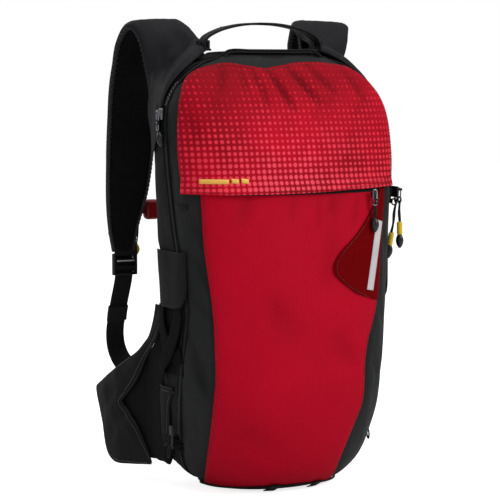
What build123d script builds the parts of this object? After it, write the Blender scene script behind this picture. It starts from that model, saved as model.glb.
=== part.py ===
from build123d import *
import math
import os

# Fan-driven avalanche airbag backpack, in millimetres.
# +Z is up, the front panel faces -Y, the wearer's back is at +Y, and the origin is on the flat base.
# The pack body is one lofted form, parted by a curved seam into a front gear compartment and a rear
# airbag compartment. The seam's two walls leave a groove that holds the zip chain.

# Driving dimensions
HEIGHT = 538.0
BACK_Y = 75.0
WALL = 2.5
SEAM_GAP = 7.0
PAD_THICKNESS = 15.0
PANEL_BOTTOM = 374.0
PANEL_TOP = 525.0

FAN_X, FAN_Y = 0.0, 35.2
FAN_BOTTOM, FAN_TOP = 185.0, 296.0
FAN_RADIUS = 33.0
DUCT_RADIUS = 30.5
SHAFT_RADIUS = 2.5
VALVE_Z = 275.0

WEBBING = 25.0
NARROW_WEBBING = 20.0
WEBBING_THICKNESS = 1.8
STRAP_THICKNESS = 14.0
STRAP_X = 129.0

PIN_RADIUS = 1.0
PIN_CLEARANCE = 0.08

# Height, half width, front y, back y, y of the widest point, squareness of the front corners
SECTIONS = [
    (0, 76, -22, 58, 38, 2.1),
    (8, 92, -43, 66, 40, 2.2),
    (25, 111, -61, 73, 40, 2.25),
    (50, 124, -71, BACK_Y, 34, 2.35),
    (85, 132, -76, BACK_Y, 24, 2.5),
    (140, 137, -77, BACK_Y, 12, 2.65),
    (210, 140, -76, BACK_Y, 4, 2.7),
    (290, 144, -71, BACK_Y, 2, 2.75),
    (370, 149, -61, BACK_Y, 4, 3.0),
    (435, 151, -48, BACK_Y, 12, 3.1),
    (482, 144, -31, BACK_Y, 22, 3.1),
    (510, 121, -13, 74, 30, 2.9),
    (529, 95, 6, 70, 38, 2.7),
    (HEIGHT, 72, 22, 64, 43, 2.5),
]
REAR_SQUARENESS = 5.0
SECTION_POINTS = 20

# The seam between the two compartments, as (y, z), seen from the side
SEAM = [(54, -20), (48, 0), (40, 21), (24, 65), (12, 109), (-4, 171), (-16, 225), (-12, 262),
        (-4, 300), (4, 355), (15, 445), (22, 500), (30, 570)]

os.makedirs("parts", exist_ok=True)


def save(name, *shapes):
    """Writes one sub-part as a STEP file holding every solid in shapes."""
    solids = [s for shape in shapes for s in shape.solids()]
    shape = solids[0] if len(solids) == 1 else Compound(children=solids)
    export_step(shape, f"parts/{name}.step")


def box(x0, x1, y0, y1, z0, z1):
    """A box between two corners."""
    return Pos((x0 + x1) / 2, (y0 + y1) / 2, (z0 + z1) / 2) * Box(x1 - x0, y1 - y0, z1 - z0)


def rounded_box(x0, x1, y0, y1, z0, z1, radius):
    """A box between two corners with every edge rounded."""
    block = box(x0, x1, y0, y1, z0, z1)
    return fillet(block.edges(), radius)


def tube(outer, inner, x, y, z0, z1):
    """An upright round tube."""
    middle = Pos(x, y, (z0 + z1) / 2)
    return middle * (Cylinder(outer, z1 - z0) - Cylinder(inner, z1 - z0))


def rod(radius, x, y, z0, z1):
    """An upright round rod."""
    return Pos(x, y, (z0 + z1) / 2) * Cylinder(radius, z1 - z0)


def bar_x(radius, length, x, y, z):
    """A round bar along X, centred on a point."""
    return Pos(x, y, z) * Rot(0, 90, 0) * Cylinder(radius, length)


def mirrored(shape):
    """The same shape on the other side of the pack's centre plane."""
    return mirror(shape, about=Plane.YZ)


def ribbon(stations, thickness, corner=None, ruled=False):
    """Lofts a flat strap through stations of (centre, width direction, travel direction, width)."""
    faces = []
    for centre, across, along, width in stations:
        plane = Plane(origin=centre, x_dir=across, z_dir=along)
        outline = RectangleRounded(width, thickness, corner) if corner else Rectangle(width, thickness)
        faces.append(plane * outline)
    return loft(faces, ruled=ruled)


# --- Pack body -----------------------------------------------------------------------------------


def section_face(z, half_width, front, back, middle, squareness, grow):
    """One horizontal section of the body: a superellipse with squarer rear corners."""
    half_width += grow
    front -= grow
    back += grow
    points = []
    for i in range(SECTION_POINTS):
        turn = 2 * math.pi * i / SECTION_POINTS
        c, s = math.cos(turn), math.sin(turn)
        power = REAR_SQUARENESS if s > 0 else squareness
        depth = back - middle if s > 0 else middle - front
        x = half_width * math.copysign(abs(c) ** (2 / power), c)
        y = middle + depth * math.copysign(abs(s) ** (2 / power), s)
        points.append((x, y, z))
    return make_face(Spline(*points, periodic=True))


def body(grow=0.0):
    """The whole pack body, grown outwards by grow, or shrunk when it is negative."""
    stretch = (HEIGHT + 2 * grow) / HEIGHT
    faces = [section_face(row[0] * stretch - grow, *row[1:], grow) for row in SECTIONS]
    return loft(faces)


def behind_seam(offset):
    """A block that holds everything behind the seam moved back by offset."""
    line = Spline(*[(y + offset, z) for y, z in SEAM])
    far = 200.0
    top, bottom = SEAM[-1], SEAM[0]
    edges = [
        line,
        Line((top[0] + offset, top[1]), (far, top[1])),
        Line((far, top[1]), (far, bottom[1])),
        Line((far, bottom[1]), (bottom[0] + offset, bottom[1])),
    ]
    face = Plane.YZ * make_face(edges)
    return extrude(face, amount=400, both=True)


outer_body = body()
inner_body = body(-WALL)
half_gap = SEAM_GAP / 2

rear_outer = outer_body & behind_seam(half_gap)
rear_cavity = inner_body & behind_seam(half_gap + WALL)
intake_window = box(-24, 24, 60, 90, 112, 172)
rear_compartment = rear_outer - rear_cavity - intake_window

front_outer = outer_body - behind_seam(-half_gap)
front_cavity = inner_body - behind_seam(-half_gap - WALL)
front_compartment = front_outer - front_cavity

# The printed top panel is a second layer over the front compartment, with its lower edge free.
panel_layer = body(2.8) - body(1.3)
panel_zone = box(-200, 200, -200, 200, PANEL_BOTTOM, PANEL_TOP) - behind_seam(-13)
top_panel = panel_layer & panel_zone

save("rear_compartment", rear_compartment)
save("front_compartment", front_compartment)
save("top_panel", top_panel)

# --- Back panel and frame --------------------------------------------------------------------------

PAD_GAP = 0.5
pad_back = BACK_Y + PAD_THICKNESS
pad_rows = [(70, 180), (186, 300), (306, 420)]


def back_pad(z0, z1):
    """One foam pad of the left column, flat on its outer face."""
    block = box(-98, -28, BACK_Y + PAD_GAP, pad_back, z0, z1)
    upright = fillet(block.edges().filter_by(Axis.Y), 16)
    return fillet(upright.faces().sort_by(Axis.Y)[-1].edges(), 5)


left_pads = [back_pad(z0, z1) for z0, z1 in pad_rows]
save("back_pads", *left_pads, *[mirrored(pad) for pad in left_pads])

SHEET_Y0, SHEET_Y1 = 68.6, 70.6
frame_sheet = box(-75, 75, SHEET_Y0, SHEET_Y1, 60, 480)
frame_sheet = fillet(frame_sheet.edges().filter_by(Axis.Y), 22)
frame_sheet -= box(-26, 26, 60, 80, 110, 174)
for slot_z in (230, 300, 370, 440):
    frame_sheet -= box(-18, 18, 60, 80, slot_z - 8, slot_z + 8)
save("frame_sheet", frame_sheet)

stay = box(-68, -56, 65.0, 68.0, 70, 470)
stay = fillet(stay.edges().filter_by(Axis.Y), 5)
save("frame_stays", stay, mirrored(stay))

# The mesh inlet is a slotted plate that fills the window in the rear compartment.
intake_mesh = box(-23.5, 23.5, 73, 76, 112.5, 171.5)
for i in range(8):
    slot_z = 117.5 + 7 * i
    intake_mesh -= box(-20, 20, 70, 80, slot_z - 1.6, slot_z + 1.6)
save("intake_mesh", intake_mesh)

# The shovel and probe sleeve hangs inside the front compartment, clear of its rear wall.
sleeve_outside = box(-95, 95, -40, -30, 90, 330)
sleeve_space = box(-93.5, 93.5, -38.5, -31.5, 91.5, 331)
save("tool_sleeve", sleeve_outside - sleeve_space)

# --- Airbag system ---------------------------------------------------------------------------------

folded_airbag = rounded_box(-112, 112, 33, 64, 340, 486, 10)
save("folded_airbag", folded_airbag)

collar = Solid.make_cone(DUCT_RADIUS - 1, 22, 34) - Solid.make_cone(DUCT_RADIUS - 3, 20, 34)
save("airbag_collar", Pos(FAN_X, 38, FAN_TOP + 1) * collar)

fan_housing = tube(FAN_RADIUS, DUCT_RADIUS, FAN_X, FAN_Y, FAN_BOTTOM + 4, FAN_TOP)
fan_housing += bar_x(1.5, 2 * DUCT_RADIUS + 2, FAN_X, FAN_Y, VALVE_Z)
save("fan_housing", fan_housing)

grille = rod(FAN_RADIUS, FAN_X, FAN_Y, FAN_BOTTOM, FAN_BOTTOM + 3.5)
for ring_inner, ring_outer in ((8, 12.5), (15, 19.5), (22, 27.5)):
    ring = tube(ring_outer, ring_inner, FAN_X, FAN_Y, FAN_BOTTOM - 1, FAN_BOTTOM + 5)
    for turn in (0, 60, 120):
        spoke = Pos(FAN_X, FAN_Y, FAN_BOTTOM + 2) * Rot(0, 0, turn) * Box(80, 3, 8)
        ring -= spoke
    grille -= ring
save("fan_grille", grille)

MOTOR_BOTTOM, MOTOR_TOP = 196.0, 226.0
BEARING_RADIUS = 6.0
motor_case = tube(14, 12, FAN_X, FAN_Y, MOTOR_BOTTOM, MOTOR_TOP)
for plate_z in (MOTOR_BOTTOM, MOTOR_TOP - 4):
    motor_case += tube(13, BEARING_RADIUS, FAN_X, FAN_Y, plate_z, plate_z + 4)
for i in range(6):
    vane = Pos(0, 0, 0) * Rot(0, 0, 60 * i) * (Pos(21.9, 0, 0) * Box(16.6, 1.6, 22))
    motor_case += Pos(FAN_X, FAN_Y, 211) * vane
save("motor_case", motor_case)

bearings = [
    tube(BEARING_RADIUS - 0.02, SHAFT_RADIUS + 0.03, FAN_X, FAN_Y, plate_z + 0.2, plate_z + 3.8)
    for plate_z in (MOTOR_BOTTOM, MOTOR_TOP - 4)
]
save("motor_bearings", *bearings)

motor_shaft = rod(SHAFT_RADIUS, FAN_X, FAN_Y, MOTOR_BOTTOM - 1, 248)
motor_shaft += tube(11, SHAFT_RADIUS, FAN_X, FAN_Y, MOTOR_BOTTOM + 6, MOTOR_TOP - 6)
save("motor_shaft", motor_shaft)

BLADES = 9
impeller = tube(13, SHAFT_RADIUS, FAN_X, FAN_Y, 229, 247)
for i in range(BLADES):
    blade = Pos(21, 0, 0) * Rot(38, 0, 0) * Box(18, 1.8, 18)
    impeller += Pos(FAN_X, FAN_Y, 238) * Rot(0, 0, 360 / BLADES * i) * blade
impeller &= rod(DUCT_RADIUS - 0.8, FAN_X, FAN_Y, 228, 248)
impeller -= rod(SHAFT_RADIUS, FAN_X, FAN_Y, 220, 260)
save("impeller", impeller)

# Two half-round check flaps open upwards about the pin that crosses the duct.
FLAP_RADIUS = DUCT_RADIUS - 1.0
flap_disc = rod(FLAP_RADIUS, FAN_X, FAN_Y, VALVE_Z - 0.8, VALVE_Z + 0.8)
for name, side, knuckle_x in (("valve_flap_front", -1, -12), ("valve_flap_rear", 1, 12)):
    y0, y1 = sorted((FAN_Y + side * 3.0, FAN_Y + side * 40))
    flap = flap_disc & box(-40, 40, y0, y1, VALVE_Z - 5, VALVE_Z + 5)
    flap += bar_x(2.6, 10, knuckle_x, FAN_Y, VALVE_Z)
    web_y0, web_y1 = sorted((FAN_Y, FAN_Y + side * 4))
    flap += box(knuckle_x - 5, knuckle_x + 5, web_y0, web_y1, VALVE_Z - 0.8, VALVE_Z + 0.8)
    flap -= bar_x(1.5 + PIN_CLEARANCE, 90, 0, FAN_Y, VALVE_Z)
    save(name, flap)

save("battery_pack", rounded_box(42, 88, 14, 62, 200, 300, 4))

CASE_X0, CASE_X1, CASE_Y0, CASE_Y1, CASE_Z0, CASE_Z1 = -92, -42, 14, 62, 190, 280
case_block = box(CASE_X0, CASE_X1, CASE_Y0 + 4, CASE_Y1, CASE_Z0, CASE_Z1)
case_block = fillet(case_block.edges().filter_by(Axis.Y), 5)
case_space = box(CASE_X0 + 2, CASE_X1 - 2, CASE_Y0 - 5, CASE_Y1 - 2, CASE_Z0 + 2, CASE_Z1 - 2)
SCREW_X = (CASE_X0 + 6, CASE_X1 - 6)
SCREW_Z = (CASE_Z0 + 6, CASE_Z1 - 6)
control_case = case_block - case_space
control_cover = box(CASE_X0, CASE_X1, CASE_Y0, CASE_Y0 + 3.8, CASE_Z0, CASE_Z1)
control_cover = fillet(control_cover.edges().filter_by(Axis.Y), 5)
screws = []
for screw_x in SCREW_X:
    for screw_z in SCREW_Z:
        turned = Pos(screw_x, 0, screw_z) * Rot(90, 0, 0)
        post = Pos(0, 40, 0) * turned * Cylinder(4, 43.8)
        control_case += post & case_block
        shank = Pos(0, 24, 0) * turned * Cylinder(1.2, 16)
        head = Pos(0, 14.8, 0) * turned * Cylinder(2.4, 1.4)
        hole = Pos(0, 25, 0) * turned * Cylinder(1.25, 24)
        recess = Pos(0, 14.6, 0) * turned * Cylinder(2.5, 2.0)
        control_case -= hole
        control_cover -= hole
        control_cover -= recess
        screws.append(shank + head)
save("control_case", control_case)
save("control_cover", control_cover)
save("case_screws", *screws)
save("circuit_board", box(CASE_X0 + 12, CASE_X1 - 12, 30, 31.6, CASE_Z0 + 5, CASE_Z1 - 5),
     box(CASE_X0 + 14, CASE_X0 + 24, 32, 50, CASE_Z0 + 20, CASE_Z0 + 60))


def cable(points, radius=1.6):
    """A round cable through points."""
    path = Spline(*points)
    profile = Plane(origin=path @ 0, z_dir=path % 0) * Circle(radius)
    return sweep(profile, path=path)


motor_cable = cable([(-41.6, 31, 206), (-38, 30.5, 207), (-34.5, 30, 210)])
battery_cable = cable([(-60, 36, 188.5), (-52, 34, 176), (0, 30, 168), (52, 34, 178), (60, 36, 198.5)])
trigger_cable = cable([(-70, 40, 281), (-76, 29, 340), (-84, 29, 480), (-88, 36, 512)])
save("cables", motor_cable, battery_cable, trigger_cable)

# --- Grab handle -----------------------------------------------------------------------------------

HANDLE_Y, HANDLE_Z, HANDLE_X = 50.0, 549.5, 82.0
HANDLE_PEAK, HANDLE_LEG, HANDLE_BAND = 575.0, 6.5, 2.5
leg_top = HANDLE_Z + HANDLE_LEG
inside_x = HANDLE_X - HANDLE_BAND
handle_face = make_face([
    ThreePointArc((-HANDLE_X, leg_top), (0, HANDLE_PEAK), (HANDLE_X, leg_top)),
    Line((HANDLE_X, leg_top), (HANDLE_X, HANDLE_Z)),
    Line((HANDLE_X, HANDLE_Z), (inside_x, HANDLE_Z)),
    Line((inside_x, HANDLE_Z), (inside_x, leg_top)),
    ThreePointArc((inside_x, leg_top), (0, HANDLE_PEAK - HANDLE_BAND), (-inside_x, leg_top)),
    Line((-inside_x, leg_top), (-inside_x, HANDLE_Z)),
    Line((-inside_x, HANDLE_Z), (-HANDLE_X, HANDLE_Z)),
    Line((-HANDLE_X, HANDLE_Z), (-HANDLE_X, leg_top)),
])
grab_handle = extrude(Plane.XZ * handle_face, amount=NARROW_WEBBING / 2, both=True)
grab_handle = Pos(0, HANDLE_Y, 0) * grab_handle
for side in (-1, 1):
    eye = bar_x(3.0, 5, side * (HANDLE_X - 2), HANDLE_Y, HANDLE_Z)
    grab_handle += eye
    grab_handle -= bar_x(1.5 + PIN_CLEARANCE, 12, side * (HANDLE_X - 2), HANDLE_Y, HANDLE_Z)
save("grab_handle", grab_handle)

anchor = bar_x(1.5, 14, -HANDLE_X + 2, HANDLE_Y, HANDLE_Z)
for lug_x in (-HANDLE_X - 4, -HANDLE_X + 8):
    anchor += rounded_box(lug_x - 2, lug_x + 2, HANDLE_Y - 4, HANDLE_Y + 4, 541, 552.5, 0.8)
anchor += box(-HANDLE_X - 6, -HANDLE_X + 10, HANDLE_Y - 7, HANDLE_Y + 7, 539.5, 542)
save("handle_anchors", anchor, mirrored(anchor))

# --- Zips ------------------------------------------------------------------------------------------
# A slider and its pull are drawn facing -Y, with the pull's pin on the origin, and then turned.

CHAIN = 5.0
CHAIN_THICKNESS = 2.4


def zip_slider():
    """Slider body with two lugs that hold the pull's pin."""
    block = rounded_box(-4, 4, 3.2, 6.6, -10, 4, 1.2)
    lugs = box(-4, -2.8, -1.6, 3.6, -1.6, 1.6) + box(2.8, 4, -1.6, 3.6, -1.6, 1.6)
    return block + lugs + bar_x(PIN_RADIUS, 7, 0, 0, 0)


def zip_pull(cord_length, sleeve=0.0):
    """Tab, cord loop and moulded bead, with a coloured tube on the cord when sleeve is above zero."""
    tab = bar_x(2.4, 5, 0, 0, 0) + box(-2.2, 2.2, -0.8, 0.8, -20, -1)
    tab -= bar_x(PIN_RADIUS + PIN_CLEARANCE, 8, 0, 0, 0)
    tab -= box(-1.1, 1.1, -2, 2, -18.5, -15)
    cord_bottom = -16 - cord_length
    cords = rod(0.9, -1.2, 0, cord_bottom, -19) + rod(0.9, 1.2, 0, cord_bottom, -19)
    bead = Pos(0, 0, cord_bottom - 6) * scale(Sphere(5), by=(1, 0.75, 1.8))
    pull = tab + cords + bead
    if sleeve:
        pull += rod(3.0, 0, 0, cord_bottom + 1, cord_bottom + 1 + sleeve)
    return pull


def placed(shape, turn, x, y, z):
    """Turns a shape drawn facing -Y by turn degrees and moves its origin to a point."""
    return Location((x, y, z), (0, 0, turn)) * shape


SIDE_X = 151.0
CHAIN_X = SIDE_X - CHAIN_THICKNESS / 2 - 0.8
PIN_OFFSET = 7.0
LEFT, RIGHT = -90, 90


def straight_chain(x, lower, upper):
    """A closed zip chain between two (y, z) points on a side of the pack."""
    along = Vector(0, upper[0] - lower[0], upper[1] - lower[1])
    middle = Vector(x, (upper[0] + lower[0]) / 2, (upper[1] + lower[1]) / 2)
    plane = Plane(origin=middle, x_dir=(1, 0, 0), z_dir=along)
    return plane.location * Box(CHAIN_THICKNESS, CHAIN, along.length)


SEAM_CHAIN = ((4.5, 352), (18.5, 474))
BOOSTER_CHAIN = ((-12, 352), (-12, 452))
BOOSTER_OUT = 4.0
MAIN_CHAIN = ((-23.5, 352), (-23.5, 452))
MAIN_OUT = 2.0
save("zip_chains",
     straight_chain(-CHAIN_X, *SEAM_CHAIN),
     straight_chain(CHAIN_X, *SEAM_CHAIN),
     straight_chain(CHAIN_X + BOOSTER_OUT, *BOOSTER_CHAIN),
     straight_chain(CHAIN_X + MAIN_OUT, *MAIN_CHAIN))

slider_out = SIDE_X + PIN_OFFSET
save("left_zip_slider", placed(zip_slider(), LEFT, -slider_out, 17.0, 466))
save("left_zip_pull", placed(zip_pull(18), LEFT, -slider_out, 17.0, 466))
booster_out = slider_out + BOOSTER_OUT
save("booster_zip_slider", placed(zip_slider(), RIGHT, booster_out, -12.0, 366))
save("booster_zip_pull", placed(zip_pull(30, 15), RIGHT, booster_out, -12.0, 366))
main_out = slider_out + MAIN_OUT
save("main_zip_slider", placed(zip_slider(), RIGHT, main_out, -23.5, 366))
save("main_zip_pull", placed(zip_pull(44, 15), RIGHT, main_out, -23.5, 366))

# The pocket zip under the top panel's lower edge runs on an arc about an upright line in the pack.
POCKET_RADIUS = 620.0
POCKET_FRONT = -66.6
POCKET_CENTRE_Y = POCKET_FRONT + POCKET_RADIUS
POCKET_Z = 365.0
POCKET_ANGLE = 9.0
pocket_ring = tube(POCKET_RADIUS, POCKET_RADIUS - CHAIN_THICKNESS, 0, POCKET_CENTRE_Y,
                   POCKET_Z - CHAIN / 2, POCKET_Z + CHAIN / 2)
pocket_reach = POCKET_RADIUS * math.sin(math.radians(POCKET_ANGLE + 0.9))
save("pocket_zip_chain", pocket_ring & box(-pocket_reach, pocket_reach, -100, 0, 340, 380))
pocket_pin_radius = POCKET_RADIUS + PIN_OFFSET
pocket_x = pocket_pin_radius * math.sin(math.radians(POCKET_ANGLE))
pocket_y = POCKET_CENTRE_Y - pocket_pin_radius * math.cos(math.radians(POCKET_ANGLE))
pocket_slider = placed(Pos(0, 0, 3) * zip_slider(), POCKET_ANGLE, pocket_x, pocket_y, POCKET_Z)
pocket_pull = placed(Pos(0, 0, 3) * zip_pull(22), POCKET_ANGLE, pocket_x, pocket_y, POCKET_Z)
save("pocket_zip_slider", pocket_slider)
save("pocket_zip_pull", pocket_pull)


def lower_slider():
    """A small one-piece slider and cord on the seam near the base, on the left side."""
    block = rounded_box(-4, 4, -3, 2, -6, 6, 1.2)
    cord = rod(1.6, 0, 0, -20, -5) + Pos(0, 0, -20) * Sphere(3)
    return placed(block + cord, LEFT, -137.5, 21.0, 76.0)


save("lower_zip_slider_left", lower_slider())
save("lower_zip_slider_right", mirrored(lower_slider()))

# --- Ski carry flaps and lower anchors --------------------------------------------------------------

flap = Location((-145.6, 34, 258), (0, -3.0, 0)) * Box(1.8, 62, 62)
flap = fillet(flap.edges().filter_by(lambda e: abs((e % 0).X) > 0.9), 7)
save("ski_carry_flaps", flap, mirrored(flap))

ANCHOR_Z = 118.0
lower_anchor = box(-114, -100, BACK_Y + 0.5, BACK_Y + 3, ANCHOR_Z - 14, ANCHOR_Z + 14)
lower_anchor = fillet(lower_anchor.edges().filter_by(Axis.Y), 4)
save("strap_anchors", lower_anchor, mirrored(lower_anchor))

# --- Shoulder harness --------------------------------------------------------------------------------
# Both straps run over the shoulders and down the chest. The chest stretch is straight, so that the
# sternum strap can slide along it.

CHEST_TOP = (149.0, 500.0)
CHEST_BOTTOM = (165.0, 350.0)
chest_vector = Vector(0, CHEST_BOTTOM[0] - CHEST_TOP[0], CHEST_BOTTOM[1] - CHEST_TOP[1]).normalized()


def chest_y(z):
    """The straps' centre y at a height on their straight stretch."""
    share = (CHEST_TOP[1] - z) / (CHEST_TOP[1] - CHEST_BOTTOM[1])
    return CHEST_TOP[0] + share * (CHEST_BOTTOM[0] - CHEST_TOP[0])


strap_stations = [
    ((-108, 86, 492), (0.8, 0, 0.6), (-0.25, 0.45, 0.85), 92),
    ((-113, 91, 536), (0.92, 0.14, 0.28), (-0.2, 0.35, 0.9), 82),
    ((-118, 112, 567), (0.96, 0.25, 0.08), (-0.2, 0.97, 0.05), 74),
    ((-124, 136, 548), (0.99, 0.12, 0.04), (-0.1, 0.55, -0.83), 69),
    ((-STRAP_X, CHEST_TOP[0], CHEST_TOP[1]), (1, 0, 0), chest_vector, 66),
    ((-STRAP_X, chest_y(450), 450), (1, 0, 0), chest_vector, 65),
    ((-STRAP_X, chest_y(400), 400), (1, 0, 0), chest_vector, 63),
    ((-STRAP_X, CHEST_BOTTOM[0], CHEST_BOTTOM[1]), (1, 0, 0), chest_vector, 60),
    ((-STRAP_X, 171, 293), (1, 0, 0), chest_vector, 40),
]
left_strap = ribbon(strap_stations, STRAP_THICKNESS, 5, ruled=True)
save("shoulder_strap_left", left_strap)
save("shoulder_strap_right", mirrored(left_strap))

LOCK_X, LOCK_Y, LOCK_Z = 131.0, 173.0, 269.0


def ladder_lock():
    """A four-bar webbing adjuster, facing -Y, centred on the origin."""
    frame = rounded_box(-17, 17, -3, 3, -15, 13, 1.5)
    for slot_z in (8, -1, -10):
        frame -= box(-13, 13, -5, 5, slot_z - 2, slot_z + 2)
    return frame


save("ladder_lock_left", Pos(-LOCK_X, LOCK_Y, LOCK_Z) * ladder_lock())
save("ladder_lock_right", Pos(LOCK_X, LOCK_Y, LOCK_Z) * ladder_lock())

webbing_stations = [
    ((-132, 175, 250), (1, 0, 0), (-0.05, 0.2, -0.98), WEBBING),
    ((-135, 185, 212), (1, 0, 0), (0, 0.3, -0.95), WEBBING),
    ((-134, 197, 178), (1, 0.05, 0), (0.05, 0.2, -0.98), WEBBING),
    ((-128, 195, 150), (0.93, 0.3, -0.1), (0.2, -0.45, -0.85), WEBBING),
    ((-119, 172, 129), (0.6, 0.6, -0.5), (0.3, -0.85, -0.5), WEBBING),
    ((-112, 130, 117), (0.2, 0.3, -0.93), (0.15, -0.96, -0.2), WEBBING),
    ((-108, 92, 114), (0, 0.05, -1), (0.05, -1, 0), WEBBING),
]
left_webbing = ribbon(webbing_stations, WEBBING_THICKNESS, ruled=True)
save("strap_webbing", left_webbing, mirrored(left_webbing))

# Sternum strap: its clips slide on two rails, and the tongue half pulls out of the socket with its
# webbing, which runs through a slot in the right clip.
RAIL_TOP, RAIL_BOTTOM = 484.0, 384.0
RAIL_MIDDLE = (RAIL_TOP + RAIL_BOTTOM) / 2
RAIL_OUT = STRAP_THICKNESS / 2 + 7.0
RAIL_X = STRAP_X - 18
chest_tilt = math.degrees(math.atan2(chest_vector.Y, -chest_vector.Z))


def on_chest(shape, x, z, out=0.0):
    """Puts an upright shape on the chest line, tilted with it, out mm in front of its centre."""
    return Location((x, chest_y(z) + out, z), (chest_tilt, 0, 0)) * shape


rail = box(-3, 3, -1.2, 1.2, -52, 52)
for end_z in (-50, 50):
    rail += box(-5, 5, -4.8, 1.8, end_z - 3, end_z + 3)
save("sternum_rails",
     on_chest(rail, -RAIL_X, RAIL_MIDDLE, RAIL_OUT), on_chest(rail, RAIL_X, RAIL_MIDDLE, RAIL_OUT))

clip = box(-6, 6, -3.2, 3.4, -8, 8) - box(-3.2, 3.2, -1.4, 1.4, -10, 10)
clip += box(-6, 6, 3, 9, -14, 14)
clip -= box(-10, 10, 4.6, 7.4, -10.8, 10.8)
left_clip = on_chest(clip, -RAIL_X, RAIL_MIDDLE, RAIL_OUT)
save("sternum_clips", left_clip, mirrored(left_clip))

WEB_OUT = 6.0
web_y0, web_y1 = WEB_OUT - WEBBING_THICKNESS / 2, WEB_OUT + WEBBING_THICKNESS / 2
half_web = NARROW_WEBBING / 2
web_end = RAIL_X + 5


def at_sternum(shape):
    """Puts a shape drawn round the sternum strap's middle in its place on the chest."""
    return on_chest(shape, 0, RAIL_MIDDLE, RAIL_OUT)


save("sternum_webbing_left", at_sternum(box(-web_end, -25, web_y0, web_y1, -half_web, half_web)))
save("sternum_webbing_right", at_sternum(box(22, web_end, web_y0, web_y1, -half_web, half_web)))
socket = rounded_box(-24.5, 6, WEB_OUT - 5, WEB_OUT + 5, -14, 14, 2)
socket -= box(-16, 10, WEB_OUT - 2.6, WEB_OUT + 2.6, -10, 10)
save("sternum_buckle_socket", at_sternum(socket))
tongue = rounded_box(7, 21.5, WEB_OUT - 4, WEB_OUT + 4, -13, 13, 1.5)
for prong_z in (-7.5, 0, 7.5):
    tongue += box(-15, 9, WEB_OUT - 2, WEB_OUT + 2, prong_z - 1.7, prong_z + 1.7)
save("sternum_buckle_tongue", at_sternum(tongue))

# Trigger on the left strap: the grip pulls out of its housing towards the breastbone.
TRIGGER_Z = 336.0
trigger_y = 187.0
housing = rounded_box(-145, -108, trigger_y - 9, trigger_y + 9, TRIGGER_Z - 34, TRIGGER_Z + 34, 4)
housing -= box(-126, -100, trigger_y - 4.5, trigger_y + 4.5, TRIGGER_Z - 5.5, TRIGGER_Z + 5.5)
button_seat = Pos(-132, trigger_y + 8, TRIGGER_Z + 20) * Rot(90, 0, 0)
housing -= button_seat * Cylinder(6.2, 8)
save("trigger_housing", housing)
save("power_button", Pos(-132, trigger_y + 7.7, TRIGGER_Z + 20) * Rot(90, 0, 0) * Cylinder(6.0, 4.0))
stem = box(-125, -94, trigger_y - 4, trigger_y + 4, TRIGGER_Z - 5, TRIGGER_Z + 5)
grip = rounded_box(-97, -76, trigger_y - 7, trigger_y + 7, TRIGGER_Z - 13, TRIGGER_Z + 13, 6)
save("trigger_handle", stem + grip)

# --- Hip belt ----------------------------------------------------------------------------------------

WING_THICKNESS = 11.0
# Centre x and y, travel direction, lower and upper height
wing_rows = [
    (-129, 86, (-0.18, 0.98, 0), 34, 224),
    (-137, 112, (-0.28, 0.96, 0), 31, 178),
    (-144, 142, (-0.16, 0.99, 0), 31, 157),
    (-147, 172, (-0.04, 1.0, 0), 38, 143),
    (-147, 198, (0.05, 1.0, 0), 48, 131),
]
wing_stations = [
    ((x, y, (low + high) / 2), (0, 0, 1), along, high - low) for x, y, along, low, high in wing_rows
]
left_wing = ribbon(wing_stations, WING_THICKNESS, 4)
save("hip_wing_left", left_wing)
save("hip_wing_right", mirrored(left_wing))

BELT_Z = 88.0
belt_stations = [
    ((-146, 200.5, BELT_Z), (0, 0, 1), (0.1, 0.99, 0), WEBBING),
    ((-139, 219, BELT_Z), (0, 0, 1), (0.55, 0.83, 0), WEBBING),
    ((-118, 231, BELT_Z), (0, 0, 1), (0.95, 0.3, 0), WEBBING),
    ((-91.8, 234, BELT_Z), (0, 0, 1), (1, 0.02, 0), WEBBING),
]
left_belt = ribbon(belt_stations, WEBBING_THICKNESS)

# Each buckle half turns on its own upright bar, which the end of the webbing wraps round.
BUCKLE_X, BUCKLE_Y = 89.4, 234.0
BAR_RADIUS, LOOP_RADIUS = 1.7, 3.4
left_belt += tube(LOOP_RADIUS, 1.0, -BUCKLE_X, BUCKLE_Y, BELT_Z - WEBBING / 2, BELT_Z + WEBBING / 2)
left_belt -= rod(BAR_RADIUS + 0.15, -BUCKLE_X, BUCKLE_Y, BELT_Z - 20, BELT_Z + 20)
save("hip_webbing_left", left_belt)
save("hip_webbing_right", mirrored(left_belt))


def buckle_plate():
    """The left buckle half: a plate, its upright bar, and the two rails that carry the bar."""
    y0, y1 = BUCKLE_Y - 1.5, BUCKLE_Y + 1.5
    plate = box(4.5 - BUCKLE_X, 36 - BUCKLE_X, y0, y1, BELT_Z - 18, BELT_Z + 18)
    plate = fillet(plate.edges().filter_by(Axis.Y), 3)
    for rail_z in (BELT_Z - 18, BELT_Z + 13.2):
        plate += box(-1.5 - BUCKLE_X, 12 - BUCKLE_X, y0, y1, rail_z, rail_z + 4.8)
    return plate + rod(BAR_RADIUS, -BUCKLE_X, BUCKLE_Y, BELT_Z - 18, BELT_Z + 18)


hook = box(22 - BUCKLE_X, 34 - BUCKLE_X, BUCKLE_Y + 1, BUCKLE_Y + 7, BELT_Z - 10, BELT_Z + 10)
hook -= box(20 - BUCKLE_X, 30 - BUCKLE_X, BUCKLE_Y + 1.4, BUCKLE_Y + 4.6, BELT_Z - 14, BELT_Z + 14)
save("hip_buckle_hook", buckle_plate() + hook)
window = box(12 - BUCKLE_X, 28 - BUCKLE_X, BUCKLE_Y - 5, BUCKLE_Y + 5, BELT_Z - 12, BELT_Z + 12)
save("hip_buckle_frame", mirrored(buckle_plate() - window))
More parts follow.
